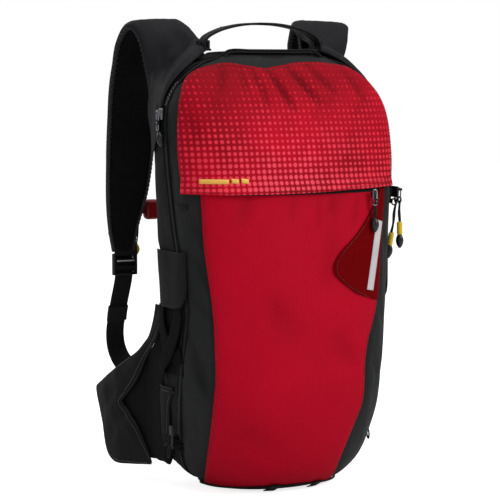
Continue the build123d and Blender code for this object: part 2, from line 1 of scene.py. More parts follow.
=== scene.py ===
"""Looks of an avalanche airbag backpack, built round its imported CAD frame.

Lengths are in mm until a mesh is made. X runs across the pack, -Y is its front, +Y faces the wearer
and Z is up. On the pack's skin, s is the way round from the front centre (+ towards +X) and z is the height.
"""
import math

import bpy
import numpy as np
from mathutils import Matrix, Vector, noise
from mathutils.bvhtree import BVHTree


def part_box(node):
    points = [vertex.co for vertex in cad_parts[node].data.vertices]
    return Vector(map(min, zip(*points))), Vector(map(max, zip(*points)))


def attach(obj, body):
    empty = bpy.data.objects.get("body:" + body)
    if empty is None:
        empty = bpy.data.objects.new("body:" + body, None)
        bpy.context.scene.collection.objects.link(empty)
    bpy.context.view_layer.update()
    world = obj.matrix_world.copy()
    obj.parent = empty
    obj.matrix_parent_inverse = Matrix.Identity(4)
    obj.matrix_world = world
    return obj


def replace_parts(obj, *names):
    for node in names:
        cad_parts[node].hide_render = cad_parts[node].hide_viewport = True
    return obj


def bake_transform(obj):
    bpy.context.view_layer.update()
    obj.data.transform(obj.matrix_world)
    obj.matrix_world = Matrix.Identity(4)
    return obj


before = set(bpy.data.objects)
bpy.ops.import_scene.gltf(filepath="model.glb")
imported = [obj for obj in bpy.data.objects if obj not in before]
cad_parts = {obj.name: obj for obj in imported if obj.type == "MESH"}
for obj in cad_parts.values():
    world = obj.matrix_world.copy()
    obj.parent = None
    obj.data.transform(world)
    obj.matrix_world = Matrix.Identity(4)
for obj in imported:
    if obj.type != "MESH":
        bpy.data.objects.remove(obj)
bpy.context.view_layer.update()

MM = 0.001
LEFT, RIGHT = -1, 1
TAG = {LEFT: "left", RIGHT: "right"}
X_AXIS, Y_AXIS, Z_AXIS = np.eye(3)
CORE_Y = 30.0            # depth of the upright axis that the skin is measured from
TOP_Z = 538.0
CAP_ROWS = 6             # rows that close the skin over the top and under the base
CAP_STEP = 8.0
SHELL_CLOTH = 1.2
STITCH = (2.6, 0.75, 0.7)                # one stitch: along, across and high


# ---------------------------------------------------------------- small geometry helpers

def node_mesh(name):
    """Vertices in mm and faces of a CAD node."""
    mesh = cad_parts[name].data
    verts = [v.co * 1000 for v in mesh.vertices]
    faces = [tuple(p.vertices) for p in mesh.polygons]
    return verts, faces


def mm_box(name):
    """Lowest and highest corner of a CAD node in mm."""
    return np.array(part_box(name)) * 1000


def run_length(path):
    """Length run from the start of a path to each of its points."""
    return np.concatenate([[0], np.cumsum(np.linalg.norm(np.diff(path, axis=0), axis=1))])


def smooth_curve(points, count=60):
    """Catmull-Rom curve through the points, evenly resampled to count points."""
    p = np.array(points, float)
    ends = np.vstack([2 * p[0] - p[1], p, 2 * p[-1] - p[-2]])
    fine = []
    for i in range(len(p) - 1):
        a, b, c, d = ends[i:i + 4]
        t = np.linspace(0, 1, 24, endpoint=False)[:, None]
        fine.append(0.5 * (2 * b + (c - a) * t + (2 * a - 5 * b + 4 * c - d) * t ** 2
                           + (3 * b - a - 3 * c + d) * t ** 3))
    fine = np.vstack(fine + [p[-1:]])
    along = run_length(fine)
    want = np.linspace(0, along[-1], count)
    return np.stack([np.interp(want, along, fine[:, k]) for k in range(fine.shape[1])], axis=1)


def edge_by_height(points):
    """A function z -> s of the smooth curve through (s, z) points."""
    curve = smooth_curve(points, 200)
    curve = curve[np.argsort(curve[:, 1])]
    return lambda z: np.interp(z, curve[:, 1], curve[:, 0])


def unit(vectors):
    length = np.linalg.norm(vectors, axis=-1, keepdims=True)
    return vectors / np.maximum(length, 1e-9)


def rumple(points, size, seed):
    """Smooth noise from -1 to 1 at each point; size is one length, or one along each axis."""
    scaled = np.asarray(points).reshape(-1, 3) / np.array(size, float) + seed
    values = [noise.noise(Vector(p)) for p in scaled]
    return np.array(values).reshape(np.asarray(points).shape[:-1])


def crease(s, z, start, end, width, depth):
    """A groove of the given depth in (s, z) that fades at both ends."""
    a, b = np.array(start, float), np.array(end, float)
    d = b - a
    q = np.stack([s - a[0], z - a[1]], axis=-1)
    t = (q @ d) / (d @ d)
    off = (q[..., 0] * d[1] - q[..., 1] * d[0]) / math.hypot(*d)
    return -depth * np.exp(-(off / width) ** 2) * np.clip(np.sin(np.clip(t, 0, 1) * math.pi), 0, 1) ** 0.7


def creased(s, z, creases, full=1.0):
    """Relief of several grooves, and how shaded they are: 1 where a groove is as deep as full."""
    relief, shaded = 0 * s, 0 * s
    for start, end, width, depth in creases:
        groove = crease(s, z, start, end, width, depth)
        relief += groove
        shaded += np.clip(-groove / full, 0, 1)
    return relief, shaded


def grid_normals(grid):
    """Unit normals of a (rows, columns, 3) grid of points."""
    return unit(np.cross(np.gradient(grid, axis=1), np.gradient(grid, axis=0)))


# ---------------------------------------------------------------- the pack's skin, measured from the CAD shells

class Skin:
    """The outer surface of the two compartment shells as a smooth grid over (s, z)."""

    TURNS = 480
    STEP_Z = 3.0
    SAMPLES = 640
    REACH = 400.0        # rays start this far from the axis
    JUMP = 3.0           # a larger step in radius marks the gap between the shells

    def __init__(self):
        front, faces_front = node_mesh("front_compartment")
        rear, faces_rear = node_mesh("rear_compartment")
        shifted = [tuple(i + len(front) for i in f) for f in faces_rear]
        tree = BVHTree.FromPolygons(front + rear, faces_front + shifted)
        heights = np.append(np.arange(1.0, TOP_Z - 1, self.STEP_Z), TOP_Z - 0.4)
        angles = np.linspace(-math.pi, math.pi, self.TURNS, endpoint=False)
        radii, seams = [], []
        for z in heights:
            radius, in_front = self.cast(tree, z, angles, len(faces_front))
            radii.append(radius)
            seams.append(self.seam_angles(angles, in_front))
        radii = self.smooth(np.array(radii))
        self.build(heights, angles, radii, np.array(seams))

    def cast(self, tree, z, angles, front_faces):
        """Distance from the axis to the outside, and 1 in the front shell, 0 in the rear and nan in the gap."""
        radius = np.full(len(angles), np.nan)
        owner = np.full(len(angles), np.nan)
        for i, a in enumerate(angles):
            way = Vector((math.sin(a), -math.cos(a), 0))
            hit, _, face, far = tree.ray_cast(Vector((0, CORE_Y, z)) + way * self.REACH, -way)
            if hit is not None and self.REACH - far > 5:
                radius[i] = self.REACH - far
                owner[i] = 1.0 if face < front_faces else 0.0
        jump = np.abs(radius - np.roll(radius, 1)) > self.JUMP
        radius[jump | np.roll(jump, -1)] = np.nan
        good = ~np.isnan(radius)
        radius = np.interp(angles, angles[good], radius[good], period=2 * math.pi)
        return radius, owner

    def seam_angles(self, angles, owner):
        """Angles of the seam's middle on the left and the right."""
        result = []
        for side in (LEFT, RIGHT):
            here = (np.sign(angles) == side) & ~np.isnan(owner)
            size = np.abs(angles[here])
            front = size[owner[here] == 1].max(initial=1.2)
            rear = size[owner[here] == 0].min(initial=1.9)
            result.append(side * (front + rear) / 2)
        return result

    def smooth(self, radii):
        for _ in range(3):
            radii = (np.roll(radii, 1, 1) + 2 * radii + np.roll(radii, -1, 1)) / 4
            radii[1:-1] = (radii[:-2] + 2 * radii[1:-1] + radii[2:]) / 4
        return radii

    def build(self, heights, angles, radii, seams):
        rows, left_lengths, lengths, seam_s = [], [], [], []
        turn = np.append(angles, math.pi)
        fractions = np.linspace(0, 1, self.SAMPLES)
        for z, radius, seam in zip(heights, radii, seams):
            r = np.append(radius, radius[0])
            ring = np.stack([r * np.sin(turn), CORE_Y - r * np.cos(turn), np.full(len(r), z)], axis=1)
            along = run_length(ring)
            left = np.interp(0, turn, along)
            want = fractions * along[-1]
            rows.append(np.stack([np.interp(want, along, ring[:, k]) for k in range(3)], axis=1))
            left_lengths.append(left)
            lengths.append(along[-1])
            seam_s.append(np.interp(seam, turn, along) - left)
        low = [self.shrunk(rows[0], k, -1) for k in range(CAP_ROWS, 0, -1)]
        high = [self.shrunk(rows[-1], k, 1) for k in range(1, CAP_ROWS + 1)]
        steps = np.arange(1, CAP_ROWS + 1) * CAP_STEP
        self.grid = np.array(low + rows + high)
        self.heights = np.concatenate([heights[0] - steps[::-1], heights, heights[-1] + steps])
        self.left_length = self.extend(left_lengths)
        self.length = self.extend(lengths)
        self.seam = self.extend(seam_s)
        for _ in range(4):
            self.seam[1:-1] = (self.seam[:-2] + 2 * self.seam[1:-1] + self.seam[2:]) / 4
        across = np.roll(self.grid, -1, 1) - np.roll(self.grid, 1, 1)
        across[:, 0] = across[:, -1] = self.grid[:, 1] - self.grid[:, -2]
        upward = np.gradient(self.grid, axis=0)
        self.normals = unit(np.cross(across, upward))

    def shrunk(self, ring, k, side):
        """A ring of the cap that closes the skin: smaller towards the middle and slightly domed."""
        turn = k / CAP_ROWS * math.pi / 2
        middle = ring.mean(axis=0)
        inner = middle + (ring - middle) * max(math.cos(turn), 0.02)
        inner[:, 2] = ring[:, 2] + (3.0 if side > 0 else -0.6) * math.sin(turn)
        return inner

    def extend(self, values):
        v = np.array(values, float)
        return np.concatenate([np.repeat(v[:1], CAP_ROWS, 0), v, np.repeat(v[-1:], CAP_ROWS, 0)])

    def at(self, s, z, out=0.0):
        """Points (mm) at s and z, moved out along the surface normal."""
        s, z, out = np.broadcast_arrays(np.asarray(s, float), np.asarray(z, float), np.asarray(out, float))
        row = np.interp(z, self.heights, np.arange(len(self.heights)))
        low = np.minimum(row.astype(int), len(self.heights) - 2)
        mix = (row - low)[..., None]
        left = np.interp(z, self.heights, self.left_length)
        length = np.interp(z, self.heights, self.length)
        turn = ((s + left) / length) % 1.0 * (self.SAMPLES - 1)
        col = np.minimum(turn.astype(int), self.SAMPLES - 2)
        part = (turn - col)[..., None]

        def pick(table):
            lower = table[low, col] * (1 - part) + table[low, col + 1] * part
            upper = table[low + 1, col] * (1 - part) + table[low + 1, col + 1] * part
            return lower * (1 - mix) + upper * mix

        return pick(self.grid) + unit(pick(self.normals)) * out[..., None]

    def seam_at(self, z, side):
        return np.interp(z, self.heights, self.seam[:, 0 if side == LEFT else 1])

    def round(self, z):
        """Length all the way round at height z."""
        return np.interp(z, self.heights, self.length)


skin = Skin()


# ---------------------------------------------------------------- meshes

def finish_piece(name, verts, faces, material, body=None, uv=None, edge=None, painted_shade=None):
    """A mesh object in metres; per vertex: uv, edge as the distance from a border (mm) and a painted shade,
    mostly for creases.
    """
    mesh = bpy.data.meshes.new(name)
    mesh.from_pydata((np.asarray(verts) * MM).tolist(), [], faces)
    mesh.polygons.foreach_set("use_smooth", [True] * len(mesh.polygons))
    if uv is not None:
        layer = mesh.uv_layers.new(name="cloth")
        loops = np.zeros(len(mesh.loops), int)
        mesh.loops.foreach_get("vertex_index", loops)
        layer.data.foreach_set("uv", (np.asarray(uv)[loops] * MM).ravel())
    far = np.full(len(mesh.vertices), 50.0) if edge is None else np.asarray(edge, float)
    mesh.attributes.new("edge", "FLOAT", "POINT").data.foreach_set("value", far)
    if painted_shade is not None:
        mesh.attributes.new("painted_shade", "FLOAT", "POINT").data.foreach_set("value", np.asarray(painted_shade, float).ravel())
    mesh.materials.append(material)
    mesh.update()
    piece = bpy.data.objects.new(name, mesh)
    bpy.context.scene.collection.objects.link(piece)
    if body:
        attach(piece, body)
    return piece


def quads(rows, cols, wrap=False):
    faces = []
    last = cols if wrap else cols - 1
    for r in range(rows - 1):
        for c in range(last):
            d = (c + 1) % cols
            faces.append((r * cols + c, r * cols + d, (r + 1) * cols + d, (r + 1) * cols + c))
    return faces


def border_distance(points):
    """Distance in mm from each grid point to the nearest border of the grid, along rows and columns."""
    def along(p):
        step = np.linalg.norm(np.diff(p, axis=1), axis=2)
        run = np.concatenate([np.zeros((len(p), 1)), np.cumsum(step, axis=1)], axis=1)
        return np.minimum(run, run[:, -1:] - run)
    return np.minimum(along(points), along(points.transpose(1, 0, 2)).T)


def sheet(name, points, material, body="pack", uv=None, thickness=SHELL_CLOTH, inward=True, painted_shade=None):
    """A cloth sheet over a (rows, columns, 3) grid of points, given a real thickness."""
    rows, cols = points.shape[:2]
    flat_uv = None if uv is None else np.stack(np.broadcast_arrays(*uv), axis=-1).reshape(-1, 2)
    piece = finish_piece(name, points.reshape(-1, 3), quads(rows, cols), material,
                         uv=flat_uv, edge=border_distance(points).ravel(), painted_shade=painted_shade)
    if thickness:
        solid = piece.modifiers.new("thickness", "SOLIDIFY")
        solid.thickness = thickness * MM
        solid.offset = -1 if inward else 1
    if body:
        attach(piece, body)
    return piece


def skin_grid(left, right, low, high, step):
    """(s, z) over the region between two edges that are functions of height."""
    rows = max(int((high - low) / step), 2) + 1
    z = np.linspace(low, high, rows)
    widest = np.max(right(z) - left(z))
    cols = max(int(widest / step), 4) + 1
    u = np.linspace(0, 1, cols)
    s = left(z)[:, None] + (right(z) - left(z))[:, None] * u
    return s, np.repeat(z[:, None], cols, 1)


def sewn_edge(s, z, drop, width):
    """How much lower a panel lies near its sewn edges."""
    flat = np.stack([s, z, np.zeros_like(s)], axis=-1)
    return -drop * np.exp(-(border_distance(flat) / width) ** 2)


def frames_along(path, up=None):
    """Unit tangents, sideways and up vectors along a path; up may be one vector, one per point, or left out."""
    tangent = unit(np.gradient(path, axis=0))
    if up is None:
        lead = np.array([0.0, 0.0, 1.0]) if abs(tangent[0][2]) < 0.9 else np.array([1.0, 0.0, 0.0])
        ups = []
        for t in tangent:
            lead = lead - t * (lead @ t)
            lead = lead / np.linalg.norm(lead)
            ups.append(lead)
        up = np.array(ups)
    else:
        up = np.broadcast_to(np.asarray(up, float), path.shape)
        up = unit(up - tangent * np.sum(up * tangent, axis=1, keepdims=True))
    return tangent, unit(np.cross(tangent, up)), up


def swept(name, path, profile, material, body="pack", up=None, scale=None):
    """A closed profile, (sideways, up) pairs in mm, carried along a path and capped at both ends."""
    path = np.asarray(path, float)
    profile = np.asarray(profile, float)
    _, side, up = frames_along(path, up)
    size = np.ones((len(path), 2)) if scale is None else np.broadcast_to(scale, (len(path), 2))
    ring = (path[:, None] + side[:, None] * (profile[None, :, :1] * size[:, None, :1])
            + up[:, None] * (profile[None, :, 1:] * size[:, None, 1:]))
    rows, cols = ring.shape[:2]
    run = run_length(path)
    around = np.broadcast_to(profile[:, 0], (rows, cols))
    uv = np.stack([around, np.broadcast_to(run[:, None], (rows, cols))], axis=-1).reshape(-1, 2)
    faces = quads(rows, cols, wrap=True)
    faces += [tuple(range(cols))[::-1], tuple(range((rows - 1) * cols, rows * cols))]
    widest = np.abs(profile[:, 0]).max()
    edge = np.broadcast_to(widest - np.abs(profile[:, 0]), (rows, cols)).ravel()
    return finish_piece(name, ring.reshape(-1, 3), faces, material, body, uv, edge)


def circle(radius, count=8):
    turns = [i / count * math.tau for i in range(count)]
    return [(radius * math.cos(a), radius * math.sin(a)) for a in turns]


def band(width, thick):
    """The profile of a woven band: flat with soft edges."""
    half, t = width / 2, thick / 2
    soft = half - min(t, 1.2)
    top = [(x, t - 0.25 * math.sin(i / 5 * math.pi)) for i, x in enumerate(np.linspace(soft, -soft, 6))]
    bottom = [(-x, -y) for x, y in top]
    return [(half, 0.0)] + top + [(-half, 0.0)] + bottom


def tube(name, path, radius, material, body="pack"):
    return swept(name, path, circle(radius), material, body)


def bead_rows(name, path, up, size, pitch, material, body="pack", zigzag=0.0):
    """Small rounded beads (along, across, high) set along a path: stitches, zip teeth or knurls."""
    curve = smooth_curve(path, max(int(run_length(path)[-1] / pitch) + 1, 2))
    tangent, side, up = frames_along(curve, resample(up, len(curve)))
    shape, faces_one = bead_shape()
    verts, faces = [], []
    for i, point in enumerate(curve):
        shift = zigzag * (1 if i % 2 else -1)
        move = (shape[:, :1] * size[0] * tangent[i] + (shape[:, 1:2] * size[1] + shift) * side[i]
                + shape[:, 2:] * size[2] * up[i])
        faces += [tuple(k + len(shape) * i for k in f) for f in faces_one]
        verts.append(point + move)
    return finish_piece(name, np.vstack(verts), faces, material, body)


def resample(values, count):
    values = np.asarray(values, float)
    if values.ndim == 1:
        return np.broadcast_to(values, (count, 3))
    old = np.linspace(0, 1, len(values))
    return np.stack([np.interp(np.linspace(0, 1, count), old, values[:, k]) for k in range(3)], axis=1)


def bead_shape():
    """A unit bead with squared shoulders: vertices from -0.5 to 0.5 and faces."""
    verts, sides = [], 6
    for x, r in ((-0.5, 0.32), (-0.3, 0.5), (0.3, 0.5), (0.5, 0.32)):
        for k in range(sides):
            a = (k + 0.5) / sides * math.tau
            verts.append((x, r * math.cos(a), r * math.sin(a)))
    faces = quads(4, sides, wrap=True) + [tuple(range(sides))[::-1], tuple(range(3 * sides, 4 * sides))]
    return np.array(verts), faces


def skin_line(s, z, out):
    """Points off the skin at s and z, and the surface normals there."""
    here = skin.at(s, z, out)
    return here, skin.at(s, z, out + 1.0) - here


def skin_path(points, out, count=80):
    """A smooth line on the skin through (s, z) points, and the surface normals along it."""
    s, z = smooth_curve(points, count).T
    return skin_line(s, z, out)


def skin_tube(name, points, out, radius, material, count=80):
    path, up = skin_path(points, out, count)
    return swept(name, path, circle(radius), material, up=up)


def red_stitches(name, points, out, count):
    path, up = skin_path(points, out, count)
    bead_rows(name, path, up, STITCH, 3.6, THREAD_RED)


def closed_form(outer, inner):
    """Vertices and faces of a closed soft form from two matching grids."""
    rows, cols = outer.shape[:2]
    count = rows * cols
    faces = quads(rows, cols)
    faces += [tuple(i + count for i in f)[::-1] for f in quads(rows, cols)]
    rim = [(0, c) for c in range(cols)] + [(r, cols - 1) for r in range(1, rows)]
    rim += [(rows - 1, c) for c in range(cols - 2, -1, -1)] + [(r, 0) for r in range(rows - 2, 0, -1)]
    index = [r * cols + c for r, c in rim]
    for i, a in enumerate(index):
        b = index[(i + 1) % len(index)]
        faces.append((b, a, a + count, b + count))
    return np.vstack([outer.reshape(-1, 3), inner.reshape(-1, 3)]), faces


# ---------------------------------------------------------------- cloth simulation for padded pieces

PUFF_PRESSURE = 4.0
PUFF_FRAMES = 20
PUFF_CAP = 3.0 * MM      # no point of a pad moves further than this


def air_out(piece):
    """Moves a mesh's points to where a short cloth simulation under pressure leaves them."""
    scene = bpy.context.scene
    before = np.zeros(len(piece.data.vertices) * 3)
    after = before.copy()
    piece.data.vertices.foreach_get("co", before)
    cloth = piece.modifiers.new("air", "CLOTH")
    cloth.settings.use_pressure = True
    cloth.settings.uniform_pressure_force = PUFF_PRESSURE
    cloth.settings.effector_weights.gravity = 0
    cloth.settings.quality = 4
    for f in range(1, PUFF_FRAMES + 1):
        scene.frame_set(f)
    posed = piece.evaluated_get(bpy.context.evaluated_depsgraph_get()).to_mesh()
    posed.vertices.foreach_get("co", after)
    piece.modifiers.remove(cloth)
    scene.frame_set(1)
    move = (after - before).reshape(-1, 3)
    length = np.linalg.norm(move, axis=1, keepdims=True)
    move *= PUFF_CAP * np.tanh(length / PUFF_CAP) / np.maximum(length, 1e-9)
    piece.data.vertices.foreach_set("co", (before.reshape(-1, 3) + move).ravel())


def puff(piece, voxel):
    """Meshes a closed soft form evenly and inflates it."""
    bpy.context.view_layer.objects.active = piece
    piece.select_set(True)
    remesh = piece.modifiers.new("even_mesh", "REMESH")
    remesh.mode = "VOXEL"
    remesh.voxel_size = voxel * MM
    bpy.ops.object.modifier_apply(modifier=remesh.name)
    air_out(piece)
    piece.data.polygons.foreach_set("use_smooth", [True] * len(piece.data.polygons))
    piece.data.update()
    smooth = piece.modifiers.new("smooth", "SUBSURF")
    smooth.levels = smooth.render_levels = 1
    piece.select_set(False)


# ---------------------------------------------------------------- materials

def srgb(r, g, b):
    """Linear colour of an 8-bit sRGB one."""
    def linear(c):
        c /= 255
        return c / 12.92 if c <= 0.04045 else ((c + 0.055) / 1.055) ** 2.4
    return (linear(r), linear(g), linear(b), 1.0)


class Look:
    """A node material being put together."""

    def __init__(self, name):
        self.material = bpy.data.materials.new(name)
        self.material.use_nodes = True
        self.tree = self.material.node_tree
        self.shader = self.tree.nodes["Principled BSDF"]

    def node(self, kind, inputs=None, **settings):
        made = self.tree.nodes.new("ShaderNode" + kind)
        for key, value in settings.items():
            setattr(made, key, value)
        for key, value in (inputs or {}).items():
            self.feed(made.inputs[key], value)
        return made

    def feed(self, socket, value):
        if isinstance(value, bpy.types.NodeSocket):
            self.tree.links.new(value, socket)
        else:
            socket.default_value = value

    def math(self, operation, a, b=0.0, c=0.0):
        return self.node("Math", {0: a, 1: b, 2: c}, operation=operation).outputs[0]

    def times(self, first, *others):
        """The product of its values."""
        for other in others:
            first = self.math("MULTIPLY", first, other)
        return first

    def wave(self, value, turn):
        """Sine of a value that is first multiplied by turn."""
        return self.math("SINE", self.times(value, turn))

    def cloth_place(self):
        """The cloth's own (u, v) in metres."""
        place = self.node("UVMap", uv_map="cloth").outputs[0]
        split = self.node("SeparateXYZ", {0: place})
        return place, split.outputs[0], split.outputs[1]

    def space(self):
        return self.node("TexCoord").outputs["Object"]

    def noise(self, scale, detail=2.0, place=None):
        place = place or self.space()
        return self.node("TexNoise", {"Vector": place, "Scale": scale, "Detail": detail}).outputs[0]

    def between(self, value, low, high, new_low=0.0, new_high=1.0):
        made = self.node("MapRange", {"Value": value, "From Min": low, "From Max": high,
                                      "To Min": new_low, "To Max": new_high})
        return made.outputs[0]

    def uneven(self, scale, detail, low, high):
        """A value that wanders from low to high through space."""
        return self.between(self.noise(scale, detail), 0.3, 0.7, low, high)

    def blend(self, amount, a, b):
        made = self.node("Mix", data_type="RGBA")
        self.feed(made.inputs[0], amount)
        self.feed(made.inputs[6], a)
        self.feed(made.inputs[7], b)
        return made.outputs[2]

    def shade(self, colour, factor):
        """The colour made lighter or darker by a factor socket."""
        made = self.node("Mix", data_type="RGBA", blend_type="MULTIPLY")
        self.feed(made.inputs[0], 1.0)
        self.feed(made.inputs[6], colour)
        self.feed(made.inputs[7], self.node("CombineColor", {0: factor, 1: factor, 2: factor}).outputs[0])
        return made.outputs[2]

    def bump(self, height, depth_mm, strength=1.0, under=None):
        made = self.node("Bump", {"Height": height, "Distance": depth_mm * MM, "Strength": strength})
        if under:
            self.feed(made.inputs["Normal"], under)
        return made.outputs[0]

    def done(self, colour, rough, normal=None, sheen=0.0, metal=0.0, coat=0.0, specular=0.5):
        self.feed(self.shader.inputs["Base Color"], colour)
        self.feed(self.shader.inputs["Roughness"], rough)
        self.feed(self.shader.inputs["Metallic"], metal)
        self.feed(self.shader.inputs["Sheen Weight"], sheen)
        self.feed(self.shader.inputs["Sheen Roughness"], 0.45)
        self.feed(self.shader.inputs["Coat Weight"], coat)
        self.feed(self.shader.inputs["Specular IOR Level"], specular)
        if normal:
            self.feed(self.shader.inputs["Normal"], normal)
        return self.material


def weave_height(look, thread_mm, twill=0.0):
    """Height of a plain or twill weave from the cloth's own coordinates, 0 to 1."""
    _, u, v = look.cloth_place()
    turn = math.tau / (2 * thread_mm * MM)
    warp = look.wave(look.math("ADD", u, look.times(v, twill)), turn)
    weft = look.wave(v, turn)
    return look.math("MULTIPLY_ADD", look.times(warp, weft), 0.5, 0.5)


def ripstop_lines(look, pitch_mm):
    """1 on the thicker threads of a ripstop square, 0 between them."""
    _, u, v = look.cloth_place()
    lines = []
    for way in (u, v):
        part = look.math("FRACT", look.math("DIVIDE", way, pitch_mm * MM))
        lines.append(look.between(look.math("ABSOLUTE", look.math("SUBTRACT", part, 0.5)), 0.44, 0.5))
    return look.math("MAXIMUM", *lines)


def wear_and_painted_shade(look, colour, light=1.35, reach=2.5):
    """Fades a colour a little along the border of its cloth, unevenly, and darkens it with a painted shade
    stored per vertex, mostly in creases.
    """
    edge = look.node("Attribute", attribute_name="edge").outputs["Fac"]
    near = look.between(edge, 0.0, reach, 1.0, 0.0)
    patchy = look.between(look.noise(60.0, 3.0), 0.45, 0.7)
    rubbed = look.math("MULTIPLY", near, patchy)
    # painted shade: a per-vertex shade attribute, set on creased cloth, darkens the colour by up to 60 percent
    painted_shade = look.node("Attribute", attribute_name="painted_shade").outputs["Fac"]
    tone = look.math("MULTIPLY_ADD", rubbed, light - 1.0, look.math("MULTIPLY_ADD", painted_shade, -0.6, 1.0))
    return look.shade(colour, tone)


def cloth(name, colour, thread=1.1, twill=0.0, rough=0.72, sheen=0.35, vary=0.16, ripstop=0.0, crinkle=0.5,
          specular=0.1):
    """Woven cloth: threads, soft crinkles, uneven dye, rubbed edges and painted shade in creases."""
    look = Look(name)
    weave = weave_height(look, thread, twill)
    blotch = look.uneven(14.0, 4.0, 1 - vary, 1 + vary)
    fibre = look.uneven(900.0, 2.0, 0.93, 1.07)
    tone = look.times(blotch, fibre, look.between(weave, 0.0, 1.0, 0.86, 1.1))
    height = weave
    if ripstop:
        lines = ripstop_lines(look, ripstop)
        tone = look.math("MULTIPLY_ADD", lines, 0.12, tone)
        height = look.math("ADD", weave, look.times(lines, 0.8))
    soft = look.bump(look.noise(42.0, 4.0), crinkle * 3.0, 0.6)
    normal = look.bump(height, 0.25, 0.5, soft)
    roughness = look.uneven(30.0, 3.0, rough - 0.06, rough + 0.08)
    return look.done(wear_and_painted_shade(look, look.shade(colour, tone)), roughness, normal, sheen, specular=specular)


def dot_amount(look, v, corner):
    """How much of a dot is printed in a cell: most low on the panel, with drifts and chance."""
    chance = look.node("TexWhiteNoise", {"Vector": corner}).outputs[0]
    drift = look.noise(0.19, 3.0, corner)
    rise = look.between(v, 0.372, 0.512, 1.0, 0.0)
    reach = look.math("MULTIPLY_ADD", drift, 1.3, look.math("MULTIPLY_ADD", chance, 0.34, -0.82))
    return rise, look.times(look.math("ADD", rise, reach), look.between(v, 0.5, 0.522, 1.0, 0.25))


def dotted_cloth(name, ground, ground_lit, dot, dot_bright):
    """Twill printed with rows of dots that grow towards the lower edge and fade out upwards, on a ground with
    patches of painted light.
    """
    look = Look(name)
    _, u, v = look.cloth_place()
    cells = [look.math("DIVIDE", way, 7.1 * MM) for way in (u, v)]
    offsets = [look.math("SUBTRACT", look.math("FRACT", c), 0.5) for c in cells]
    far = look.math("SQRT", look.math("ADD", *[look.times(o, o) for o in offsets]))
    corner = look.node("CombineXYZ", {k: look.math("FLOOR", c) for k, c in enumerate(cells)}).outputs[0]
    rise, amount = dot_amount(look, v, corner)
    radius = look.between(amount, -0.1, 1.1, 0.12, 0.4)
    inside = look.between(look.math("SUBTRACT", far, radius), -0.08, 0.07, 1.0, 0.0)
    shown = look.times(inside, look.between(amount, -0.2, 0.4, 0.15, 1.0))
    middle = look.between(look.math("ABSOLUTE", look.math("ADD", u, 0.02)), 0.02, 0.13, 1.0, 0.0)
    bright = look.times(look.between(rise, 0.2, 0.95), look.math("MULTIPLY_ADD", middle, 0.6, 0.35))
    dots = look.blend(bright, dot, dot_bright)
    # painted light: noisy patches of the ground take its lit colour, fully below 460 mm and a quarter near the
    # top
    painted_light = look.times(look.between(look.noise(11.0, 3.0), 0.35, 0.65), look.between(v, 0.5, 0.46, 0.25, 1.0))
    ground = look.blend(painted_light, ground, ground_lit)
    weave = weave_height(look, 1.0, 0.5)
    tone = look.times(look.between(weave, 0, 1, 0.9, 1.08), look.uneven(16.0, 4.0, 0.9, 1.08))
    colour = look.shade(look.blend(shown, ground, dots), tone)
    normal = look.bump(weave, 0.25, 0.45, look.bump(look.noise(36.0, 4.0), 1.6, 0.6))
    return look.done(wear_and_painted_shade(look, colour, 1.2), look.between(shown, 0, 1, 0.62, 0.5), normal, specular=0.06)


def webbing_look(name, colour, rough=0.6):
    """Narrow woven band: ribs along it, a herringbone and a firmer edge."""
    look = Look(name)
    _, u, v = look.cloth_place()
    ribs = look.wave(u, math.tau / (1.6 * MM))
    zigzag = look.math("ABSOLUTE", look.times(ribs, 0.0006))
    slant = look.wave(look.math("ADD", v, zigzag), math.tau / (1.3 * MM))
    height = look.math("MULTIPLY_ADD", look.times(ribs, slant), 0.5, 0.5)
    tone = look.times(look.between(height, 0, 1, 0.75, 1.2), look.uneven(50.0, 3.0, 0.85, 1.15))
    return look.done(wear_and_painted_shade(look, look.shade(colour, tone), 1.5, 2.0), rough, look.bump(height, 0.35, 0.7), 0.03,
                     specular=0.2)


def spaced_mesh(name, colour, hole, cell=2.6):
    """Open knitted mesh: round holes in a thick knit."""
    look = Look(name)
    cells = look.node("TexVoronoi", {"Vector": look.space(), "Scale": 1 / (cell * MM), "Randomness": 0.25})
    depth = look.between(cells.outputs[0], 0.12, 0.42)
    colour = look.shade(look.blend(depth, hole, colour), look.uneven(18.0, 3.0, 0.85, 1.15))
    soft = look.bump(look.noise(40.0, 3.0), 1.5, 0.5)
    return look.done(colour, 0.85, look.bump(depth, 0.9, 0.7, soft), 0.03, specular=0.1)


def moulded(name, colour, rough=0.45, grain=420.0, scuff=0.5):
    """Injection-moulded plastic or rubber: fine spark grain, slight flow marks and scuffs."""
    look = Look(name)
    sparks = look.noise(grain * 3, 2.0)
    flow = look.uneven(25.0, 3.0, 0.9, 1.1)
    scratch = look.between(look.noise(140.0, 6.0), 0.62, 0.72)
    shade = look.math("MULTIPLY_ADD", scratch, scuff * 0.35, flow)
    ground = look.between(sparks, 0.3, 0.7, rough - 0.05, rough + 0.07)
    roughness = look.math("MULTIPLY_ADD", scratch, 0.18, ground)
    return look.done(look.shade(colour, shade), roughness, look.bump(sparks, 0.12, 0.5))


def metal_look(name, colour, rough=0.32):
    """Metal with a brushed grain and dull spots."""
    look = Look(name)
    stretched = look.node("Mapping", {"Vector": look.space(), "Scale": (900.0, 40.0, 40.0)}).outputs[0]
    lines = look.noise(1.0, 3.0, stretched)
    dull = look.between(look.noise(70.0, 4.0), 0.5, 0.75)
    roughness = look.math("MULTIPLY_ADD", dull, 0.2, look.between(lines, 0.3, 0.7, rough - 0.08, rough + 0.1))
    return look.done(look.shade(colour, look.between(lines, 0.3, 0.7, 0.88, 1.08)), roughness,
                     look.bump(lines, 0.08, 0.5), metal=1.0)


